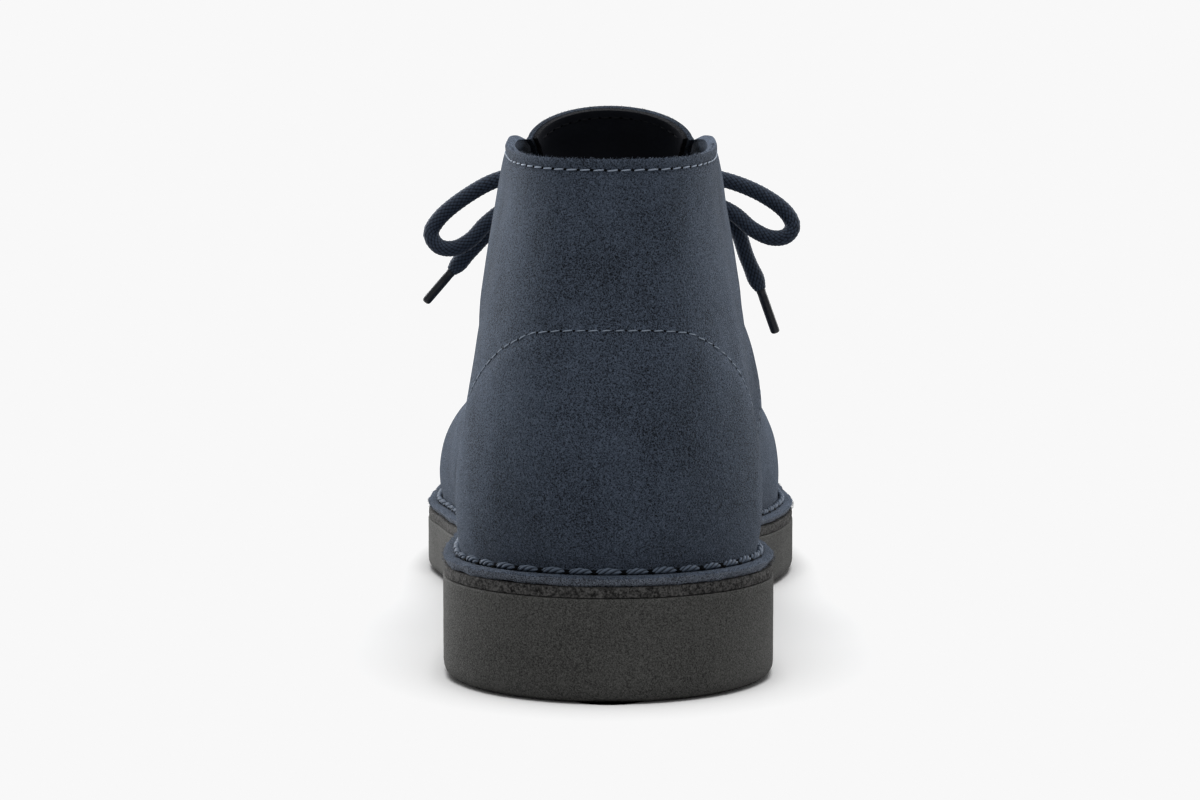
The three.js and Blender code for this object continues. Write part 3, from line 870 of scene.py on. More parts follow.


# Each strand's route, as listed.
LOOP_LEFT = [
    [-1.5, 84.5, 112.0],
    [-6.8, 85, 112.2],
    [-16, 86, 113.3],
    [-27.7, 86, 111.8],
    [-36.6, 86, 107.2],
    [-43.6, 85.6, 101.4],
    [-45.6, 85.3, 97.6],
    [-43.6, 84.9, 94.4],
    [-39.6, 84.6, 93.9],
    [-35.2, 84.5, 96.2],
    [-31.2, 84.5, 100.4],
    [-24, 84.6, 105.4],
    [-15.4, 85, 107.4],
    [-6.8, 85, 107.6],
    [-1.5, 84.5, 108.0],
]
LOOP_RIGHT = [
    [3.3, 84.5, 112.0],
    [8.6, 85, 112.2],
    [18, 86, 113.3],
    [30.4, 86, 111.5],
    [40.2, 86, 107.6],
    [46.4, 85.6, 102.9],
    [47.9, 85.3, 99.4],
    [46.2, 85, 97.0],
    [42.4, 85, 96.6],
    [37.4, 85, 98.9],
    [32.6, 85, 102.9],
    [25.6, 85, 106.0],
    [17, 85, 107.5],
    [8.6, 85, 107.6],
    [3.3, 84.5, 108.0],
]
END_LEFT = [
    [0.5, 86.5, 105.2],
    [-6.6, 88.4, 103.8],
    [-15, 90.5, 103.6],
    [-23.5, 91, 102.3],
    [-30.8, 90, 97.9],
    [-35.4, 90, 93.3],
    [-40.6, 90, 87.7],
]
END_RIGHT = [
    [1.3, 86.5, 105.2],
    [8.4, 88.4, 103.8],
    [17, 90.5, 104.0],
    [26, 91.5, 103.8],
    [32.8, 90, 100.0],
    [36.4, 90, 91.2],
    [40.0, 90, 82.9],
]
AGLETS = {
    "aglet_left": ([-40.4, 90, 87.9], [-47.6, 90, 79.6]),
    "aglet_right": ([39.9, 90, 83.2], [44.1, 90, 71.5]),
}


AGLET_SIDES = 24


def aglet(name, start, end):
    """A crimped plastic tip, rounded at its free end."""
    start, end = np.array(start, float), np.array(end, float)
    way = unit(end - start)
    side = unit(np.cross(way, Y_AXIS))
    other = np.cross(way, side)
    length = np.linalg.norm(end - start)
    radius = AGLET_THICK / 2
    profile = [(0, 0), (0, 0.86), (0.25, 1.0), (0.9, 1.02), (1.1, 0.97), (2.0, 0.97), (2.2, 1.0)]
    profile += [(length * share, 1.0) for share in (0.4, 0.6, 0.8, 0.9)]
    profile += [(length - 0.7, 0.97), (length - 0.3, 0.82), (length - 0.06, 0.45), (length, 0)]
    points = []
    for along, share in profile:
        points += ring_points(start + way * along, side, other, radius * share, AGLET_SIDES)
    mesh = mesh_of(name, points, ring_faces(len(profile), AGLET_SIDES))
    mesh.materials.append(MATERIALS["aglet"])
    return settled(placed(name, mended(mesh, weld=1e-6)))


def kept_piece(piece, slot, *nodes):
    """Attaches a finished piece to the root body and hides the nodes that it stands for. Its finish,
    slot, is not used.
    """
    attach(piece, "root")
    if nodes:
        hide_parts(*nodes)
    return piece


def lace_up():
    tips = {name: aglet("plastic_" + name, *ends) for name, ends in AGLETS.items()}
    for name, tip in tips.items():
        kept_piece(tip, "aglet_plastic", name)
    strands = {
        "lace_loop_left": (LOOP_LEFT, "object", None, None),
        "lace_loop_right": (LOOP_RIGHT, "object", None, None),
        "lace_end_left": (END_LEFT, "fitting", towards_aglet, "aglet_left"),
        "lace_end_right": (END_RIGHT, "fitting", towards_aglet, "aglet_right"),
    }
    for name, (route, far_end, swell, tip) in strands.items():
        piece, line = braided("braided_" + name, route, swell)
        kept_piece(piece, "lace_cotton", name)


def through(hole, out):
    """The way up through an eyelet, from inside the boot."""
    return [hole - out * LACE_INSIDE, hole + out * 0.4]


def lace_across():
    """The strands between the eyelets, and the wrap that ties the bow."""
    holes = {
        (side, at): eyelet_place(side, at)
        for side in SIDES
        for at in (UPPER_EYELET, LOWER_EYELET)
    }
    left, left_out = holes["lateral", LOWER_EYELET]
    right, right_out = holes["medial", LOWER_EYELET]
    proud = unit(left_out + right_out)

    def half(hole, out, other):
        """From inside an eyelet up to the bar's shoulder."""
        rising = hole + out * 2.6 + (other - hole) * 0.06
        shoulder = hole * 0.72 + other * 0.28 + proud * BAR_SHOULDER
        return [*through(hole, out), rising, shoulder]

    middle = (left + right) / 2 + proud * BAR_LIFT
    route = [*half(left, left_out, right), middle, *half(right, right_out, left)[::-1]]
    kept_piece(braided("braided_bar_lower", route)[0], "lace_cotton", "lace_bar_lower")
    knot = np.array(KNOT)
    for side, crossing in (("lateral", 1), ("medial", -1)):
        hole, out = holes[side, UPPER_EYELET]
        sign = SIDES[side]
        depth = 1.7 * crossing
        route = [
            *through(hole, out),
            hole + out * 2.4 - np.array([sign * 1.6, 0, 0]),
            np.array([knot[0] + sign * 8.5, 82.4 + depth * 0.6, 103.6]),
            np.array([knot[0] + sign * 2.5, 84.0 + depth, 104.8]),
            np.array([knot[0] - sign * 3.0, 84.6 + depth, 107.0]),
            np.array([knot[0] - sign * 3.4, 84.6, 109.6]),
        ]
        piece = braided("braided_strand_" + side, route)[0]
        kept_piece(piece, "lace_cotton", "lace_bar_upper")
    turns = np.linspace(0, 2 * math.pi, 17)
    wrap = []
    for turn in turns:
        out, up = 4.4 * math.cos(turn), 4.6 * math.sin(turn)
        wrap.append([knot[0] + 0.9 * math.sin(turn + 0.6), knot[1] - 0.2 + out, knot[2] - 0.2 + up])
    kept_piece(braided("braided_wrap", wrap)[0], "lace_cotton", "lace_knot")


lace_up()
lace_across()


# ---------- sole ----------
def layer_tree():
    """A sole layer: its section swept round the sole's edge and closed at the middle line."""
    tree, bench, given = new_tree("sole_layer", Roughness=0.0, Seed=3.0)
    tree.interface.new_socket("Section", in_out="INPUT", socket_type="NodeSocketObject")
    tree.interface.new_socket("Finish", in_out="INPUT", socket_type="NodeSocketMaterial")
    section = bench.shape("MeshToCurve", Mesh=bench.copied(given.part("Section")))
    skin = bench.shape("CurveToMesh", Curve=bench.shape("MeshToCurve", Mesh=given), Profile_Curve=section)
    inset, level, middle = (carried(bench, key) for key in ("inset", "level", "middle"))
    edge, inward, spine = (carried(bench, key, "FLOAT_VECTOR") for key in ("edge", "inward", "spine"))
    under, top = (carried(bench, key) for key in ("under", "top"))
    place = edge + inward * inset
    place = place + (spine - place) * middle
    rise = under + (top - under) * level + carried(bench, "rise")
    upward = bench.make("ShaderNodeCombineXYZ", {}, {"Z": rise})
    skin = bench.shape("SetPosition", Geometry=skin, Position=place + upward)
    sockets = {"Scale": 900.0, "Detail": 3.0, "W": given.part("Seed")}
    lumps = bench.make("ShaderNodeTexNoise", {"noise_dimensions": "4D"}, sockets)
    depth = (lumps - 0.5) * given.part("Roughness") * bench.clamp(level * 8)
    skin = bench.shape("SetPosition", Geometry=skin, Offset=bench.shape("InputNormal") * depth)
    skin = bench.shape("MergeByDistance", Geometry=skin, Distance=0.01 * MM)
    skin = stored(bench, skin, "scuffed", bench.clamp(1 - level * 3.5))
    end_tree(bench, (skin, given.part("Finish")))
    return tree


def sole_ring(count):
    """The sole's edge as a closed line, with the ways in and the middle line beside it."""
    fractions = np.linspace(0, 1, count)
    medial, lateral = (edge_at(side, fractions) for side in ("medial", "lateral"))
    spine = (lateral[0] + medial[0]) / 2
    return all_round(medial[0], lateral[0]), all_round(medial[1], lateral[1]), all_round(spine, spine)


def section_of(rows):
    """A section as a line: inset, level from 0 at the bottom to 1 at the top, rise, and middle."""
    rows = np.array(rows, float)
    spots = np.stack([rows[:, 0], rows[:, 1] * 10, rows[:, 3] * 3], 1)
    marks = {"inset": rows[:, 0] * MM, "level": rows[:, 1], "rise": rows[:, 2] * MM, "middle": rows[:, 3]}
    return line_of("section", spots, marks)


def sole_layer(name, tree, rows, under_at, top_at, finish, roughness):
    places, inwards, spines = sole_ring(260)
    heights = {"under": under_at(places[:, 1]) * MM, "top": top_at(places[:, 1]) * MM}
    marks = {"edge": places * MM, "inward": inwards, "spine": spines * MM, **heights}
    section = placed("section", section_of(rows))
    source = line_of(name, places, marks, closed=True)
    inputs = {"Section": section, "Finish": MATERIALS[finish], "Roughness": roughness * MM}
    piece = grown(name, source, tree, **inputs)
    bpy.data.objects.remove(section)
    return piece


def rounding(radius, steps, level, upwards, inset=0.0):
    """Section rows round a lower corner (upwards) or an upper one."""
    rows = []
    for turn in np.linspace(0, math.pi / 2, steps + 1):
        into, over = radius * (1 - math.sin(turn)), radius * (1 - math.cos(turn))
        rows.append([inset + into, level, over, 0] if upwards else [inset + over, level, -into, 0])
    return rows


def make_sole():
    tree = layer_tree()
    rows = [[0, 0, 0, 1], [0, 0, 0, 0.5], [16, 0, 0, 0], [9, 0, 0, 0], [5, 0, 0, 0]]
    rows += rounding(SOLE_ROUND, 7, 0, True)
    rows += [[0, share, SOLE_ROUND * (1 - share), 0] for share in np.linspace(0.12, 0.92, 14)]
    rows += rounding(0.5, 3, 1, False)
    rows += [[3, 1, 0, 0], [10, 1, 0, 0], [0, 1, 0, 1]]
    piece = sole_layer(
        "rubber_outsole", tree, rows,
        lambda along: SOLE_PROFILE("under", along), sole_top, "rubber", 0.12,
    )
    kept_piece(piece, "grey_rubber", "outsole")
    rows = [[0, 0, 0, 1], [6, 0, 0, 0], [1.2, 0, 0, 0]]
    rows += rounding(0.3, 2, 0, True, MIDSOLE_INSET)
    rows += [[MIDSOLE_INSET + 0.1 * math.sin(9 * share), share, 0, 0] for share in (0.3, 0.45, 0.6, 0.75)]
    rows += rounding(0.3, 2, 1, False, MIDSOLE_INSET)
    rows += [[1.2, 1, 0, 0], [6, 1, 0, 0], [0, 1, 0, 1]]
    piece = sole_layer(
        "dark_midsole", tree, rows,
        lambda along: sole_top(along) + LAYER_GAP * 0.4,
        lambda along: sole_top(along) + MIDSOLE_THICK + 1.7 * LAYER_GAP,
        "band", 0.3,
    )
    kept_piece(piece, "dark_rubber", "midsole")


make_sole()
frame["nodes"]["insole"].data.materials.clear()
frame["nodes"]["insole"].data.materials.append(MATERIALS["insole"])


# ---------- upper ----------
FLANGE_ROWS = [(0.0, -0.30), (0.5, 0.0), (1.2, 0.16), (2.0, 0.16), (2.8, 0.04), (3.3, -0.06)]
FILLET_STEPS = 5
FILLET_SHARE = 0.030
COLLAR_ROW_DROP = 2.4
EDGE_SETBACKS = (1.8, 4.4)
FACING_SETBACKS = (2.2, 13.5)
SOLE_ROW_INSET = 3.2
COUNTER_REACH = 0.198
BOUND_ROWS = 6
LINING_SLOT, CUT_SLOT, BOUND_SLOT = 1, 2, 3
PUNCH_SIDES = 32
PUNCH_REACH = 5.0
VAMP_SUNK = 1.15
VAMP_RISE = 13.0


def surface_line(side, ats, shares, lift=0.0):
    """A line on the upper's outside, and the ways out of it."""
    out = wall_outward(side, ats, shares)
    return wall(side, ats, shares) + out * lift, out


def joined_sides(ats, shares_by_side, lift=0.0):
    """A line that runs from the outer side round the heel to the inner side."""
    runs = [surface_line(side, ats, shares_by_side[side], lift) for side in ("lateral", "medial")]
    places = np.vstack([runs[0][0][::-1], runs[1][0][1:]])
    outs = np.vstack([runs[0][1][::-1], runs[1][1][1:]])
    return places, outs


def collar_row():
    ats = np.linspace(0, 0.312, 90)
    shares = {side: share_below_top(side, ats, COLLAR_ROW_DROP) for side in SIDES}
    return joined_sides(ats, shares)


def counter_row():
    ats = np.linspace(0, COUNTER_REACH, 90)
    shares = {side: share_at_height(side, ats, COUNTER_ROW("height", ats)) for side in SIDES}
    return joined_sides(ats, shares)


def quarter_rows(side, setback):
    """Stitch row along a quarter's front edge, set back from it, from sole to throat."""
    shares = np.linspace(0.05, 0.985, 90)
    ats = quarter_edge(shares)
    spots = wall(side, ats, shares)
    behind = wall(side, ats - 0.01, shares)
    gap = np.linalg.norm(behind - spots, axis=1)
    ats = ats - 0.01 * setback / gap
    return surface_line(side, ats, shares)


def facing_row(side, setback):
    """Stitch row along the throat's edge, set back from it."""
    ats = np.linspace(0.316, 0.474, 60)
    return surface_line(side, ats, share_below_top(side, ats, setback))


ROWS = {
    "collar": collar_row(),
    "counter": counter_row(),
    **{f"edge_{side}_{i}": quarter_rows(side, EDGE_SETBACKS[i]) for side in SIDES for i in range(2)},
    **{f"facing_{side}_{i}": facing_row(side, FACING_SETBACKS[i]) for side in SIDES for i in range(2)},
}

# Soft folds: from and to as (at, share) on a side, how deep (a ridge is above 0), and how wide.
FOLDS = [
    ("medial", (0.200, 0.62), (0.225, 0.10), 0.7, 5.0),
    ("medial", (0.235, 0.60), (0.262, 0.12), -0.8, 4.5),
    ("medial", (0.270, 0.62), (0.300, 0.14), 0.6, 5.5),
    ("medial", (0.300, 0.78), (0.345, 0.45), -0.7, 4.5),
    ("lateral", (0.220, 0.66), (0.250, 0.16), -0.6, 5.0),
    ("lateral", (0.262, 0.60), (0.292, 0.16), 0.5, 5.5),
    ("lateral", (0.300, 0.78), (0.345, 0.45), -0.7, 4.5),
    ("lateral", (0.160, 0.88), (0.270, 0.80), -0.35, 5.0),
    ("medial", (0.160, 0.87), (0.270, 0.79), -0.35, 5.0),
]


def near_line(points, line, width):
    """1 on a line, fading to 0 over a width."""
    best = np.full(len(points), np.inf)
    for spot in line:
        best = np.minimum(best, ((points - spot) ** 2).sum(1))
    return np.exp(-best / (2 * width ** 2))


def lumps(points, size, seed):
    shift = Vector((seed * 17.3, seed * 5.1, seed * 9.7))
    return np.array([noise.noise(Vector(p) / size + shift) for p in points])


def soft_swell(points):
    """The broad soft swells of worn suede."""
    return 0.28 * lumps(points, 24.0, 1) + 0.10 * lumps(points, 8.0, 2)


def relief(side, share, points):
    """How far the suede stands out from its smooth form, in millimetres."""
    height = soft_swell(points)
    for fold_side, (at_a, share_a), (at_b, share_b), depth, width in FOLDS:
        if fold_side == side:
            t = np.linspace(0, 1, 24)
            bow = 0.02 * np.sin(math.pi * t)
            line = wall(side, at_a + (at_b - at_a) * t + bow, share_a + (share_b - share_a) * t)
            height += depth * near_line(points, line, width)
    return height * np.clip(share / 0.08, 0, 1)


def sunk_by_rows(points, rows, depth, width):
    height = np.zeros(len(points))
    for name in rows:
        height -= depth * near_line(points, ROWS[name][0], width)
    return height


def leather_columns(side, ats_at, share_rows):
    """Points of the flange, its fillet and the wall, for columns whose fraction may vary by share."""
    ats = ats_at(np.zeros(1))[:, 0]
    count = len(ats)
    rows = [inset_edge(side, ats, np.full(count, inset), flange_top, lift) for inset, lift in FLANGE_ROWS]
    crease = wall(side, ats, np.zeros(count))
    start = rows[-1]
    end = wall(side, ats_at(np.array([FILLET_SHARE]))[:, 0], np.full(count, FILLET_SHARE))
    for t in np.linspace(0, 1, FILLET_STEPS + 2)[1:-1]:
        rows.append(start * (1 - t) ** 2 + 2 * crease * t * (1 - t) + end * t * t)
    grid_ats = ats_at(share_rows)
    walls = wall(side, grid_ats, np.broadcast_to(share_rows, grid_ats.shape))
    columns = np.concatenate([np.stack(rows, 1), walls], 1)
    low = len(rows)
    all_ats = np.concatenate([np.repeat(ats[:, None], low, 1), grid_ats], 1)
    all_shares = np.concatenate([np.zeros((count, low)), np.broadcast_to(share_rows, grid_ats.shape)], 1)
    return columns, all_ats, all_shares


def leather_shell(name, sheets, thickness, finishes, bound_rows=0):
    """A leather piece from sheets of (columns, relief), with lining, cut edges and bound top rows."""
    points, faces, heights, bound = [], [], [], []
    for columns, relief_of in sheets:
        start = len(points)
        count, rows = columns.shape[:2]
        points.extend(columns.reshape(-1, 3))
        heights.extend(relief_of.ravel())
        for c in range(count - 1):
            for r in range(rows - 1):
                a = start + c * rows + r
                faces.append((a, a + rows, a + rows + 1, a + 1))
                bound.append(BOUND_SLOT if r >= rows - 1 - bound_rows else 0)
    mesh = mesh_of(name, points, faces, {"relief": heights})
    for finish in finishes:
        mesh.materials.append(MATERIALS[finish])
    mesh.polygons.foreach_set("material_index", bound)
    mended(mesh, weld=2e-5, outward=False)
    count = len(mesh.vertices)
    place, out, height = (np.zeros(count * size, np.float32) for size in (3, 3, 1))
    mesh.vertices.foreach_get("co", place)
    mesh.vertex_normals.foreach_get("vector", out)
    mesh.attributes["relief"].data.foreach_get("value", height)
    place = place.reshape(-1, 3) + out.reshape(-1, 3) * height[:, None] * MM
    mesh.vertices.foreach_set("co", place.ravel())
    mesh.update()
    piece = placed(name, mesh)
    solid = piece.modifiers.new("thickness", "SOLIDIFY")
    solid.thickness = thickness * MM
    solid.offset = -1
    solid.use_rim = True
    solid.material_offset = LINING_SLOT
    solid.material_offset_rim = CUT_SLOT
    bevel = piece.modifiers.new("edges", "BEVEL")
    bevel.limit_method = "ANGLE"
    bevel.angle_limit = math.radians(48)
    bevel.width = 0.6 * MM
    bevel.segments = 3
    return settled(piece)


def flange_painted(piece):
    """The piece with its cut edge along the sole in a lighter suede: paler cut fibre plus a painted
    highlight.
    """
    mesh = piece.data
    mesh.materials.append(MATERIALS["flange_edge"])
    slot = len(mesh.materials) - 1
    for face in mesh.polygons:
        cut = mesh.materials[face.material_index] == MATERIALS["raw_edge"]
        if cut and face.center.z / MM < flange_top(face.center.y / MM) + 0.6:
            face.material_index = slot
    return piece


def wall_shares(count):
    """Shares up the wall, closer together near the sole and the rim."""
    t = np.linspace(0, 1, count)
    return FILLET_SHARE + (1 - FILLET_SHARE) * (t - 0.06 * np.sin(2 * math.pi * t))


def collar_roll(side, ats, points):
    """The folded collar band stands a little proud above its stitch row."""
    tops = wall(side, ats, np.ones_like(ats))
    below = np.linalg.norm(points - tops.reshape(-1, 3), axis=1)
    band = np.exp(-((below - 1.2) / 0.9) ** 2) * 0.25
    near_collar = np.clip((0.33 - ats.ravel()) / 0.03, 0, 1)
    return band * near_collar


def counter_swell(ats, points):
    """The stiffener under the stitch arch lifts the suede over it."""
    ceiling = COUNTER_ROW("height", ats)
    inside = 1 / (1 + np.exp(-(ceiling - points[:, 2]) / 1.1))
    reach = 1 / (1 + np.exp((ats - COUNTER_REACH) / 0.003))
    return 0.4 * inside * reach


def flange_waves(columns):
    """How far the flange's soft free edge strays from its true line."""
    rows = columns[:, :len(FLANGE_ROWS)]
    waves = 0.3 * lumps(rows.reshape(-1, 3), 2.7, 4) + 0.2 * lumps(rows.reshape(-1, 3), 6.0, 8)
    free = np.clip(1 - np.array(FLANGE_ROWS)[:, 0] / 2.4, 0, 1)
    return waves.reshape(rows.shape[:2]) * free


def make_quarters():
    sheets = []
    share_rows = wall_shares(64)
    for side, order in (("lateral", -1), ("medial", 1)):
        steps = np.linspace(0, 1, 210)

        def ats_at(shares):
            return steps[:, None] * quarter_edge(shares)[None, :]

        columns, ats, shares = leather_columns(side, ats_at, share_rows)
        flat = columns.reshape(-1, 3)
        height = relief(side, shares.ravel(), flat)
        height += collar_roll(side, ats, flat)
        height += counter_swell(ats.ravel(), flat)
        height += sunk_by_rows(flat, ["collar", "counter"], 0.4, 0.7)
        rows = [name for name in ROWS if side in name]
        height += sunk_by_rows(flat, rows, 0.25, 0.6)
        height = height.reshape(columns.shape[:2])
        height[:, :len(FLANGE_ROWS)] = flange_waves(columns)
        sheets.append((columns[::order], height[::order]))
    finishes = ("suede", "lining", "raw_edge", "suede", "suede", "raw_edge")
    piece = leather_shell("quarters", sheets, WALL, finishes, BOUND_ROWS)
    return kept_piece(flange_painted(punched(piece)), "suede", "upper")


def punched(piece):
    """The piece with its eyelets cut through."""
    points, faces = [], []
    for side in SIDES:
        for at in (UPPER_EYELET, LOWER_EYELET):
            hole, out = eyelet_place(side, at)
            across = unit(np.cross(out, Z_AXIS))
            start, far = len(points), len(points) + PUNCH_SIDES
            for depth in (-PUNCH_REACH, PUNCH_REACH):
                middle = hole + out * depth
                points += ring_points(middle, across, np.cross(out, across), EYELET_RADIUS, PUNCH_SIDES)
            faces += [tuple(range(start, far)), tuple(range(far + PUNCH_SIDES - 1, far - 1, -1))]
            faces += ring_faces(2, PUNCH_SIDES, start)
    mesh = mesh_of("punch", points, faces)
    for finish in ("suede", "lining", "raw_edge"):
        mesh.materials.append(MATERIALS[finish])
    mesh.polygons.foreach_set("material_index", [CUT_SLOT] * len(mesh.polygons))
    mended(mesh)
    punch = placed("punch", mesh)
    cut = piece.modifiers.new("eyelets", "BOOLEAN")
    cut.operation = "DIFFERENCE"
    cut.solver = "EXACT"
    cut.object = punch
    cut.material_mode = "INDEX"
    piece = settled(piece)
    bpy.data.objects.remove(punch)
    return piece


def make_vamp():
    sheets = []
    share_rows = wall_shares(64)
    for side, order in (("lateral", -1), ("medial", 1)):
        steps = np.linspace(0, 1, 170)

        def ats_at(shares):
            start = quarter_edge(shares) - 0.022 * (1 - shares ** 6)
            return start[None, :] + (1 - start[None, :]) * steps[:, None]

        columns, ats, shares = leather_columns(side, ats_at, share_rows)
        flat = columns.reshape(-1, 3)
        height = relief(side, shares.ravel(), flat)
        beyond = (ats.ravel() - quarter_edge(shares.ravel())) * 380
        sunk = 1 - np.clip(beyond / VAMP_RISE, 0, 1)
        sunk = sunk * sunk * (3 - 2 * sunk)
        height -= VAMP_SUNK * sunk
        height = height.reshape(columns.shape[:2])
        height[:, :len(FLANGE_ROWS)] += flange_waves(columns)
        sheets.append((columns[::order], height[::order]))
    piece = leather_shell("vamp", sheets, WALL - 0.4, ("suede", "lining", "raw_edge"))
    return kept_piece(flange_painted(piece), "suede", "upper")


make_quarters()
make_vamp()


# ---------- tongue ----------
def tongue_surface(steps, shares, depth):
    reach = 0.01
    ends = np.clip(steps - reach, 0, 1), np.clip(steps + reach, 0, 1)
    rise = TONGUE("height", ends[1]) - TONGUE("height", ends[0])
    run = TONGUE("along", ends[1]) - TONGUE("along", ends[0])
    proud = unit(np.stack([np.zeros_like(rise), rise, -run], -1))
    radius = TONGUE("radius", steps)
    bend = np.arcsin(shares * TONGUE("half", steps) / radius)
    drop = radius - (radius - depth) * np.cos(bend)
    middle = np.stack([TONGUE("centre", steps), TONGUE("along", steps), TONGUE("height", steps)], -1)
    aside = np.stack([(radius - depth) * np.sin(bend), 0 * bend, 0 * bend], -1)
    return middle + aside - proud * drop[..., None]


def tongue_step(step, share):
    """How far up the tongue a place is, where its top edge is arched."""
    rounded = 1 - np.sqrt(np.maximum(1 - np.minimum(np.abs(share), 1) ** TONGUE_FULLNESS, 0))
    return step * (1 - TONGUE_ARCH / TONGUE_LENGTH * rounded)


def tongue_sheet(name, depth, thickness, finishes, spread):
    steps = np.linspace(0, 1, 90)[:, None]
    shares = np.sin(np.linspace(-math.pi / 2, math.pi / 2, 61))[None, :] * spread
    ups, asides = np.broadcast_arrays(steps, shares)
    ups = tongue_step(ups, asides)
    grid = tongue_surface(ups, asides, depth)
    flat = grid.reshape(-1, 3)
    height = (0.12 * lumps(flat, 14.0, 5) + 0.05 * lumps(flat, 5.0, 6)).reshape(grid.shape[:2])
    return leather_shell(name, [(grid, height)], thickness, finishes)


def make_tongue():
    half = TONGUE_THICK / 2
    for name, finish, depth, thickness, spread in (
        ("tongue_face", "tongue", 0.0, half - 0.05, 1.025),
        ("tongue_lining", "lining", half + 0.12, half - 0.12, 1.01),
    ):
        finishes = (finish, finish, finish + "_edge")
        piece = tongue_sheet(name, depth, thickness, finishes, spread)
        kept_piece(piece, "tongue_suede", "tongue")


make_tongue()


# ---------- stitches ----------
def stitch_mesh(length, thick, sides=6, steps=8, dip=0.5, plies=1, twist=0.0, slant=0.0):
    """One stitch lying along X with its ends dipping, of one or more twisted plies."""
    points, faces, raised = [], [], []
    for ply in range(plies):
        start = len(points)
        for i in range(steps + 1):
            t = i / steps
            x = length * (t - 0.5)
            arch = math.sin(math.pi * t) ** 0.55
            fat = 0.45 + 0.55 * math.sin(math.pi * min(max(t, 0.02), 0.98)) ** 0.5
            turn = 2 * math.pi * (ply / plies + twist * t)
            orbit = thick * 0.26 if plies > 1 else 0
            centre_y = orbit * math.cos(turn) * fat + slant * (t - 0.5)
            centre_z = thick * dip * arch - thick * 0.35 + orbit * math.sin(turn) * fat
            radius = (thick * 0.3 if plies > 1 else thick / 2) * fat
            points += ring_points(np.array([x, centre_y, centre_z]), Y_AXIS, Z_AXIS, radius, sides)
            angles = 2 * math.pi * np.arange(sides) / sides
            # The raised mark places painted light: 1 on each ply's outer face and 0 between plies, or
            # lighter on top and darker underneath for a single thread.
            raised += list(0.5 + (0.5 * np.cos(angles - turn) if plies > 1 else 0.4 * np.sin(angles)))
        faces += ring_faces(steps + 1, sides, start)
        last = start + steps * sides
        faces += [tuple(range(start, start + sides)), tuple(range(last + sides - 1, last - 1, -1))]
    return mended(mesh_of("stitch", points, faces, {"raised": raised}))


def dot_mesh(radius, stretch=1.4):
    """A needle hole: a small shallow disc, drawn out along the row, that carries painted shade."""
    sides = 8
    turns = np.arange(sides) * 2 * math.pi / sides
    points = [(0, 0, 0.05)]
    points += [(stretch * radius * math.cos(a), radius * math.sin(a), 0.0) for a in turns]
    faces = [(0, 1 + k, 1 + (k + 1) % sides) for k in range(sides)]
    faces.append(tuple(range(sides, 0, -1)))
    return mesh_of("hole", points, faces)


def stitch_tree():
    """Stitches at a pitch along a line, with a needle hole of painted shade between each two."""
    tree, bench, given = new_tree(
        "stitch_row",
        Pitch=3.0 * MM,
        Stitch="NodeSocketObject",
        Hole="NodeSocketObject",
        Thread="NodeSocketMaterial",
        Seed=7,
    )
    line = bench.spaced(given, given.part("Pitch") * 0.5)
    out = carried(bench, "out", "FLOAT_VECTOR")
    settings = {"primary_axis": "Z", "secondary_axis": "X"}
    sockets = {"Primary Axis": out, "Secondary Axis": bench.shape("InputTangent")}
    turned = bench.make("FunctionNodeAxesToRotation", settings, sockets)
    odd = bench.maths("MODULO", bench.shape("InputIndex"), 2.0)
    sockets = {2: 0.92, 3: 1.08, "Seed": given.part("Seed")}
    size = bench.make("FunctionNodeRandomValue", {"data_type": "FLOAT"}, sockets, output=1)
    branches = []
    for key, chosen, material in (
        ("Stitch", 1 - odd, given.part("Thread")),
        ("Hole", odd, "hole"),
    ):
        sockets = {"Points": line, "Selection": chosen, "Rotation": turned}
        if key == "Stitch":
            sockets["Scale"] = size
        stamped = bench.shape("InstanceOnPoints", Instance=bench.copied(given.part(key)), **sockets)
        branches.append((stamped, material))
    end_tree(bench, *branches)
    return tree


STITCH_ROW = stitch_tree()


def stitched(name, line, outs, pitch, stitch, hole, finish, closed=False):
    source = line_of(name, line, {"out": outs}, closed)
    tools = [placed("stitch", stitch), placed("hole", hole)]
    inputs = {"Pitch": pitch * MM, "Stitch": tools[0], "Hole": tools[1], "Thread": MATERIALS[finish]}
    piece = grown(name, source, STITCH_ROW, **inputs)
    for tool in tools:
        bpy.data.objects.remove(tool)
    return kept_piece(piece, "lace_cotton")


def relieved(line, outs, depth):
    """A stitch row's line, sunk as the suede is under it."""
    return line + outs * (soft_swell(line) - depth)[:, None]


# Each kind of row: its pitch, how deep it lies in the suede, its stitch, needle hole and thread.
STITCHES = {
    "collar": (3.05, 0.18, stitch_mesh(2.4, 0.36, slant=0.2), dot_mesh(0.3), "thread"),
    "counter": (2.85, 0.0, stitch_mesh(2.1, 0.3, slant=0.2), dot_mesh(0.24), "fine_thread"),
    "seam": (2.9, 0.18, stitch_mesh(2.1, 0.34), dot_mesh(0.27), "fine_thread"),
}


def sew():
    for name, (line, outs) in ROWS.items():
        pitch, depth, stitch, hole, finish = STITCHES.get(name, STITCHES["seam"])
        stitched("stitches_" + name, relieved(line, outs, depth), outs, pitch, stitch, hole, finish)
    line, inward = flange_round(SOLE_ROW_INSET, 0.75)
    outs = unit(-inward * 0.55 + Z_AXIS)
    stitch = stitch_mesh(5.4, 1.4, sides=8, steps=22, dip=0.45, plies=3, twist=-1.05)
    stitched("sole_stitches", line, outs, 6.2, stitch, dot_mesh(1.15, 1.0), "sole_cord", closed=True)
    asides = np.linspace(-0.93, 0.93, 120)
    ups = tongue_step(np.full(120, 1.0), asides) - 0.02
    line, inside = (tongue_surface(ups, asides, TONGUE_THICK + depth) for depth in (0.02, 1.0))
    stitch, hole = stitch_mesh(1.8, 0.34), dot_mesh(0.26)
    stitched("stitches_tongue", line, unit(inside - line), 2.6, stitch, hole, "dark_thread")


sew()


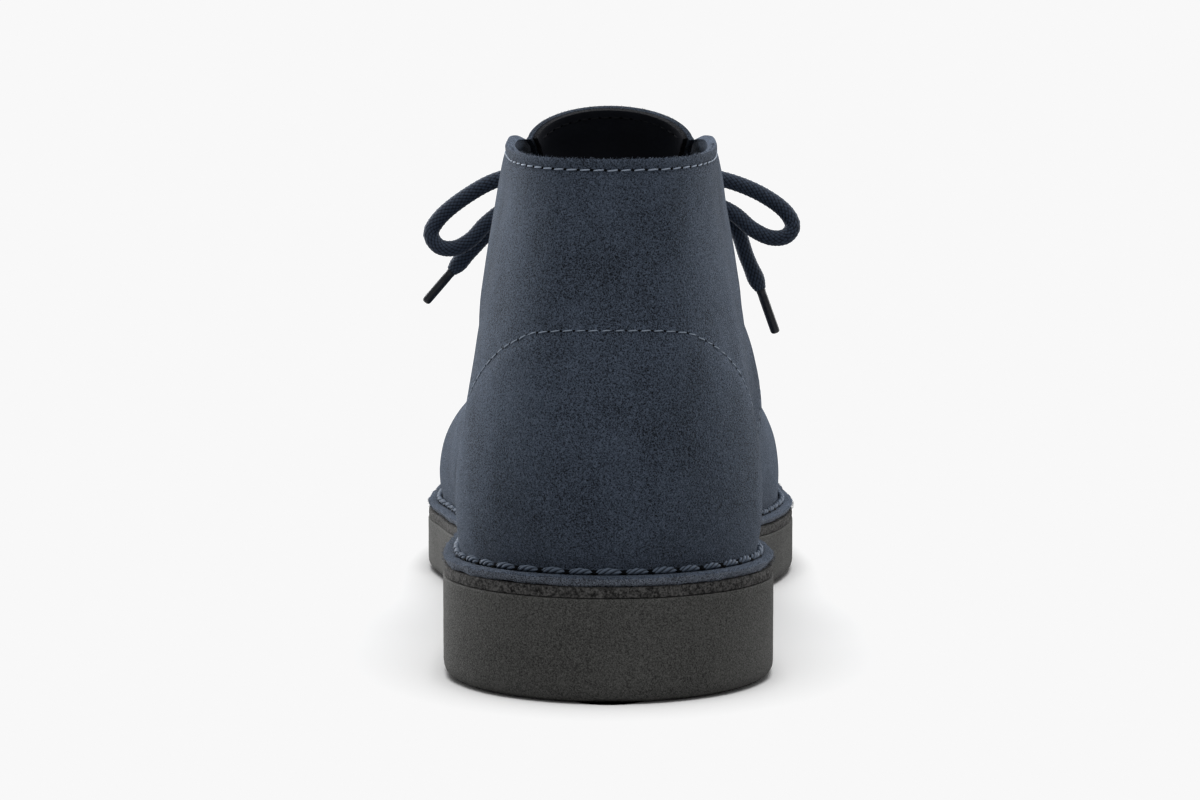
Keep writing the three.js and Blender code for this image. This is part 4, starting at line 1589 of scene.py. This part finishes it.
# ---------- fuzz ----------
def fuzz_tree():
    """Loose suede fibres that stand out along a cut edge."""
    tree, bench, given = new_tree(
        "edge_fuzz",
        Spacing=0.16 * MM,
        Spread=0.5 * MM,
        Fibre="NodeSocketObject",
        Finish="NodeSocketMaterial",
        Seed=11,
    )
    line = bench.spaced(given, given.part("Spacing"))
    seed = given.part("Seed")

    def chance(low, high, more):
        sockets = {2: low, 3: high, "Seed": seed + more}
        return bench.make("FunctionNodeRandomValue", {"data_type": "FLOAT"}, sockets, output=1)

    def scatter(more):
        sockets = {0: (-1.0, -1.0, -1.0), 1: (1.0, 1.0, 1.0), "Seed": seed + more}
        return bench.make("FunctionNodeRandomValue", {"data_type": "FLOAT_VECTOR"}, sockets)

    line = bench.shape("SetPosition", Geometry=line, Offset=scatter(1) * given.part("Spread"))
    lean = carried(bench, "out", "FLOAT_VECTOR") + scatter(2) * 0.75
    turned = bench.make("FunctionNodeAlignRotationToVector", {"axis": "Z"}, {"Vector": lean})
    fibre, size = bench.copied(given.part("Fibre")), chance(0.35, 1.0, 3)
    stamped = bench.shape("InstanceOnPoints", Points=line, Instance=fibre, Rotation=turned, Scale=size)
    end_tree(bench, (stamped, given.part("Finish")))
    return tree


EDGE_FUZZ = fuzz_tree()
FIBRE_THICK = 0.08


def fibre_mesh(length, thick):
    """One bent fibre standing on Z, drawn to a point."""
    points = []
    for height, bend, share in ((-0.15, 0, 1), (length * 0.5, 0.08, 0.8), (length, 0.3, 0.1)):
        points += ring_points(np.array([bend, 0, height]), X_AXIS, Y_AXIS, thick / 2 * share, 3)
    return mesh_of("fibre", points, [(2, 1, 0), (6, 7, 8), *ring_faces(3, 3)])


def fuzzed(name, line, outs, slot, finish, length, spread, spacing=0.16, seed=11, closed=False):
    source = line_of(name, line, {"out": outs}, closed)
    fibre = placed("fibre", fibre_mesh(length, FIBRE_THICK))
    sizes = {"Spacing": spacing * MM, "Spread": spread * MM}
    piece = grown(name, source, EDGE_FUZZ, **sizes, Fibre=fibre, Finish=MATERIALS[finish], Seed=seed)
    bpy.data.objects.remove(fibre)
    return kept_piece(piece, slot)


def fuzz_up():
    ats = np.linspace(0, 0.2, 120)
    tops = {side: np.ones_like(ats) for side in SIDES}
    line, outs = joined_sides(ats, tops, -0.55)
    line = line - Z_AXIS * 0.15
    # The collar's fibres carry the nap finish's painted highlight.
    fuzzed("collar_fuzz", line, unit(Z_AXIS + outs * 0.5), "suede", "nap", 0.45, 0.4, spacing=0.1)
    # The flange's loose fibres share its cut edge's painted highlight.
    line, inward = flange_round(0.35, -0.75)
    outs = unit(Z_AXIS * 0.5 - inward)
    finish = ("suede", "flange_edge")
    fuzzed("flange_fuzz", line, outs, *finish, 0.6, 0.65, spacing=0.14, closed=True, seed=23)
    asides = np.linspace(-0.985, 0.985, 120)
    ups = tongue_step(np.full(120, 1.0), asides)
    line = tongue_surface(ups, asides, 0.7)
    below = tongue_surface(ups - 0.03, asides * 0.97, 0.7)
    fuzzed("tongue_fuzz", line, unit(line - below), "tongue_suede", "tongue_edge", 0.5, 0.4, seed=31)


fuzz_up()


# ---------- stage ----------
FLOOR_DROP = 0.15
STUDIO_WHITE = 0.939
WORLD_LEVEL = 0.24
OVERHEAD_POWER = 2.75
PANEL_PLACE = (0.85, 0.9, 0.42)
PANEL_AIM = (0, 0.02, 0.06)
PANEL_SIZE = (0.9, 1.1)
PANEL_POWERS = (("leather", False, 31, 18), ("sole", True, 25, 10))


def lit_floor():
    """White floor that the camera sees bright, and that throws back less light than it shows."""
    paint = Paint("pale_floor")
    felt, seen = (
        paint.make("ShaderNodeBsdfDiffuse", {}, {"Color": (grey, grey, grey, 1)}) for grey in (0.6, 0.95)
    )
    ray = paint.make("ShaderNodeLightPath", output="Is Camera Ray")
    surface = paint.make("ShaderNodeMixShader", {}, {0: ray, 1: felt, 2: seen})
    paint.make("ShaderNodeOutputMaterial", {}, {"Surface": surface})
    return paint.material


def add_floor():
    reach = 30000
    corners = [(-reach, -reach), (reach, -reach), (reach, reach), (-reach, reach)]
    mesh = mesh_of("floor", [(x, y, -FLOOR_DROP) for x, y in corners], [(0, 1, 2, 3)])
    mesh.materials.append(lit_floor())
    placed("floor", mesh)


SOLE_PIECES = ("rubber_outsole", "dark_midsole")


def lit_pieces(name, sole):
    """The sole's pieces, or all the others, for the lights that shine on them alone."""
    pieces = bpy.data.collections.new(name)
    for piece in bpy.context.scene.objects:
        if piece.type == "MESH" and piece.name != "floor" and (piece.name in SOLE_PIECES) == sole:
            pieces.objects.link(piece)
    return pieces


def add_panel(name, place, aim, size, power, pieces):
    data = bpy.data.lights.new(name, "AREA")
    data.shape = "RECTANGLE"
    data.size, data.size_y = size
    data.energy = power
    light = bpy.data.objects.new(name, data)
    light.location = place
    light.rotation_euler = (Vector(aim) - Vector(place)).to_track_quat("-Z", "Y").to_euler()
    light.visible_camera = False
    light.light_linking.receiver_collection = pieces
    bpy.context.scene.collection.objects.link(light)


def add_overhead(power):
    data = bpy.data.lights.new("overhead", "SUN")
    data.energy = power
    data.angle = math.radians(50)
    light = bpy.data.objects.new("overhead", data)
    bpy.context.scene.collection.objects.link(light)


def add_world(level):
    world = bpy.data.worlds.new("studio")
    world.use_nodes = True
    bench = Bench(world.node_tree)
    bench.tree.nodes.clear()
    felt, seen = (
        bench.make("ShaderNodeBackground", {}, {"Color": (1, 1, 1, 1), "Strength": strength})
        for strength in (level, 1.0)
    )
    ray = bench.make("ShaderNodeLightPath", output="Is Camera Ray")
    glow = bench.make("ShaderNodeMixShader", {}, {0: ray, 1: felt, 2: seen})
    bench.make("ShaderNodeOutputWorld", {}, {"Surface": glow})
    bpy.context.scene.world = world


def level_whites():
    """Whites are held at one plain studio white."""
    view = bpy.context.scene.view_settings
    view.view_transform = "Standard"
    view.use_curve_mapping = True
    view.curve_mapping.extend = "HORIZONTAL"
    curve = view.curve_mapping.curves[3]
    curve.points[0].location = (0, 0)
    curve.points[1].location = (1, STUDIO_WHITE)
    curve.points.new(STUDIO_WHITE, STUDIO_WHITE)
    for point in curve.points:
        point.handle_type = "VECTOR"
    view.curve_mapping.update()


def add_panels():
    """A panel on each side of the toe, one pair for the leather and one for the sole."""
    for group, sole, left_power, right_power in PANEL_POWERS:
        lit = lit_pieces(group + "_pieces", sole)
        for side, sign, power in (("left", -1, left_power), ("right", 1, right_power)):
            place = (sign * PANEL_PLACE[0], *PANEL_PLACE[1:])
            add_panel(f"{group}_panel_{side}", place, PANEL_AIM, PANEL_SIZE, power, lit)


add_floor()
add_world(WORLD_LEVEL)
add_overhead(OVERHEAD_POWER)
add_panels()
level_whites()
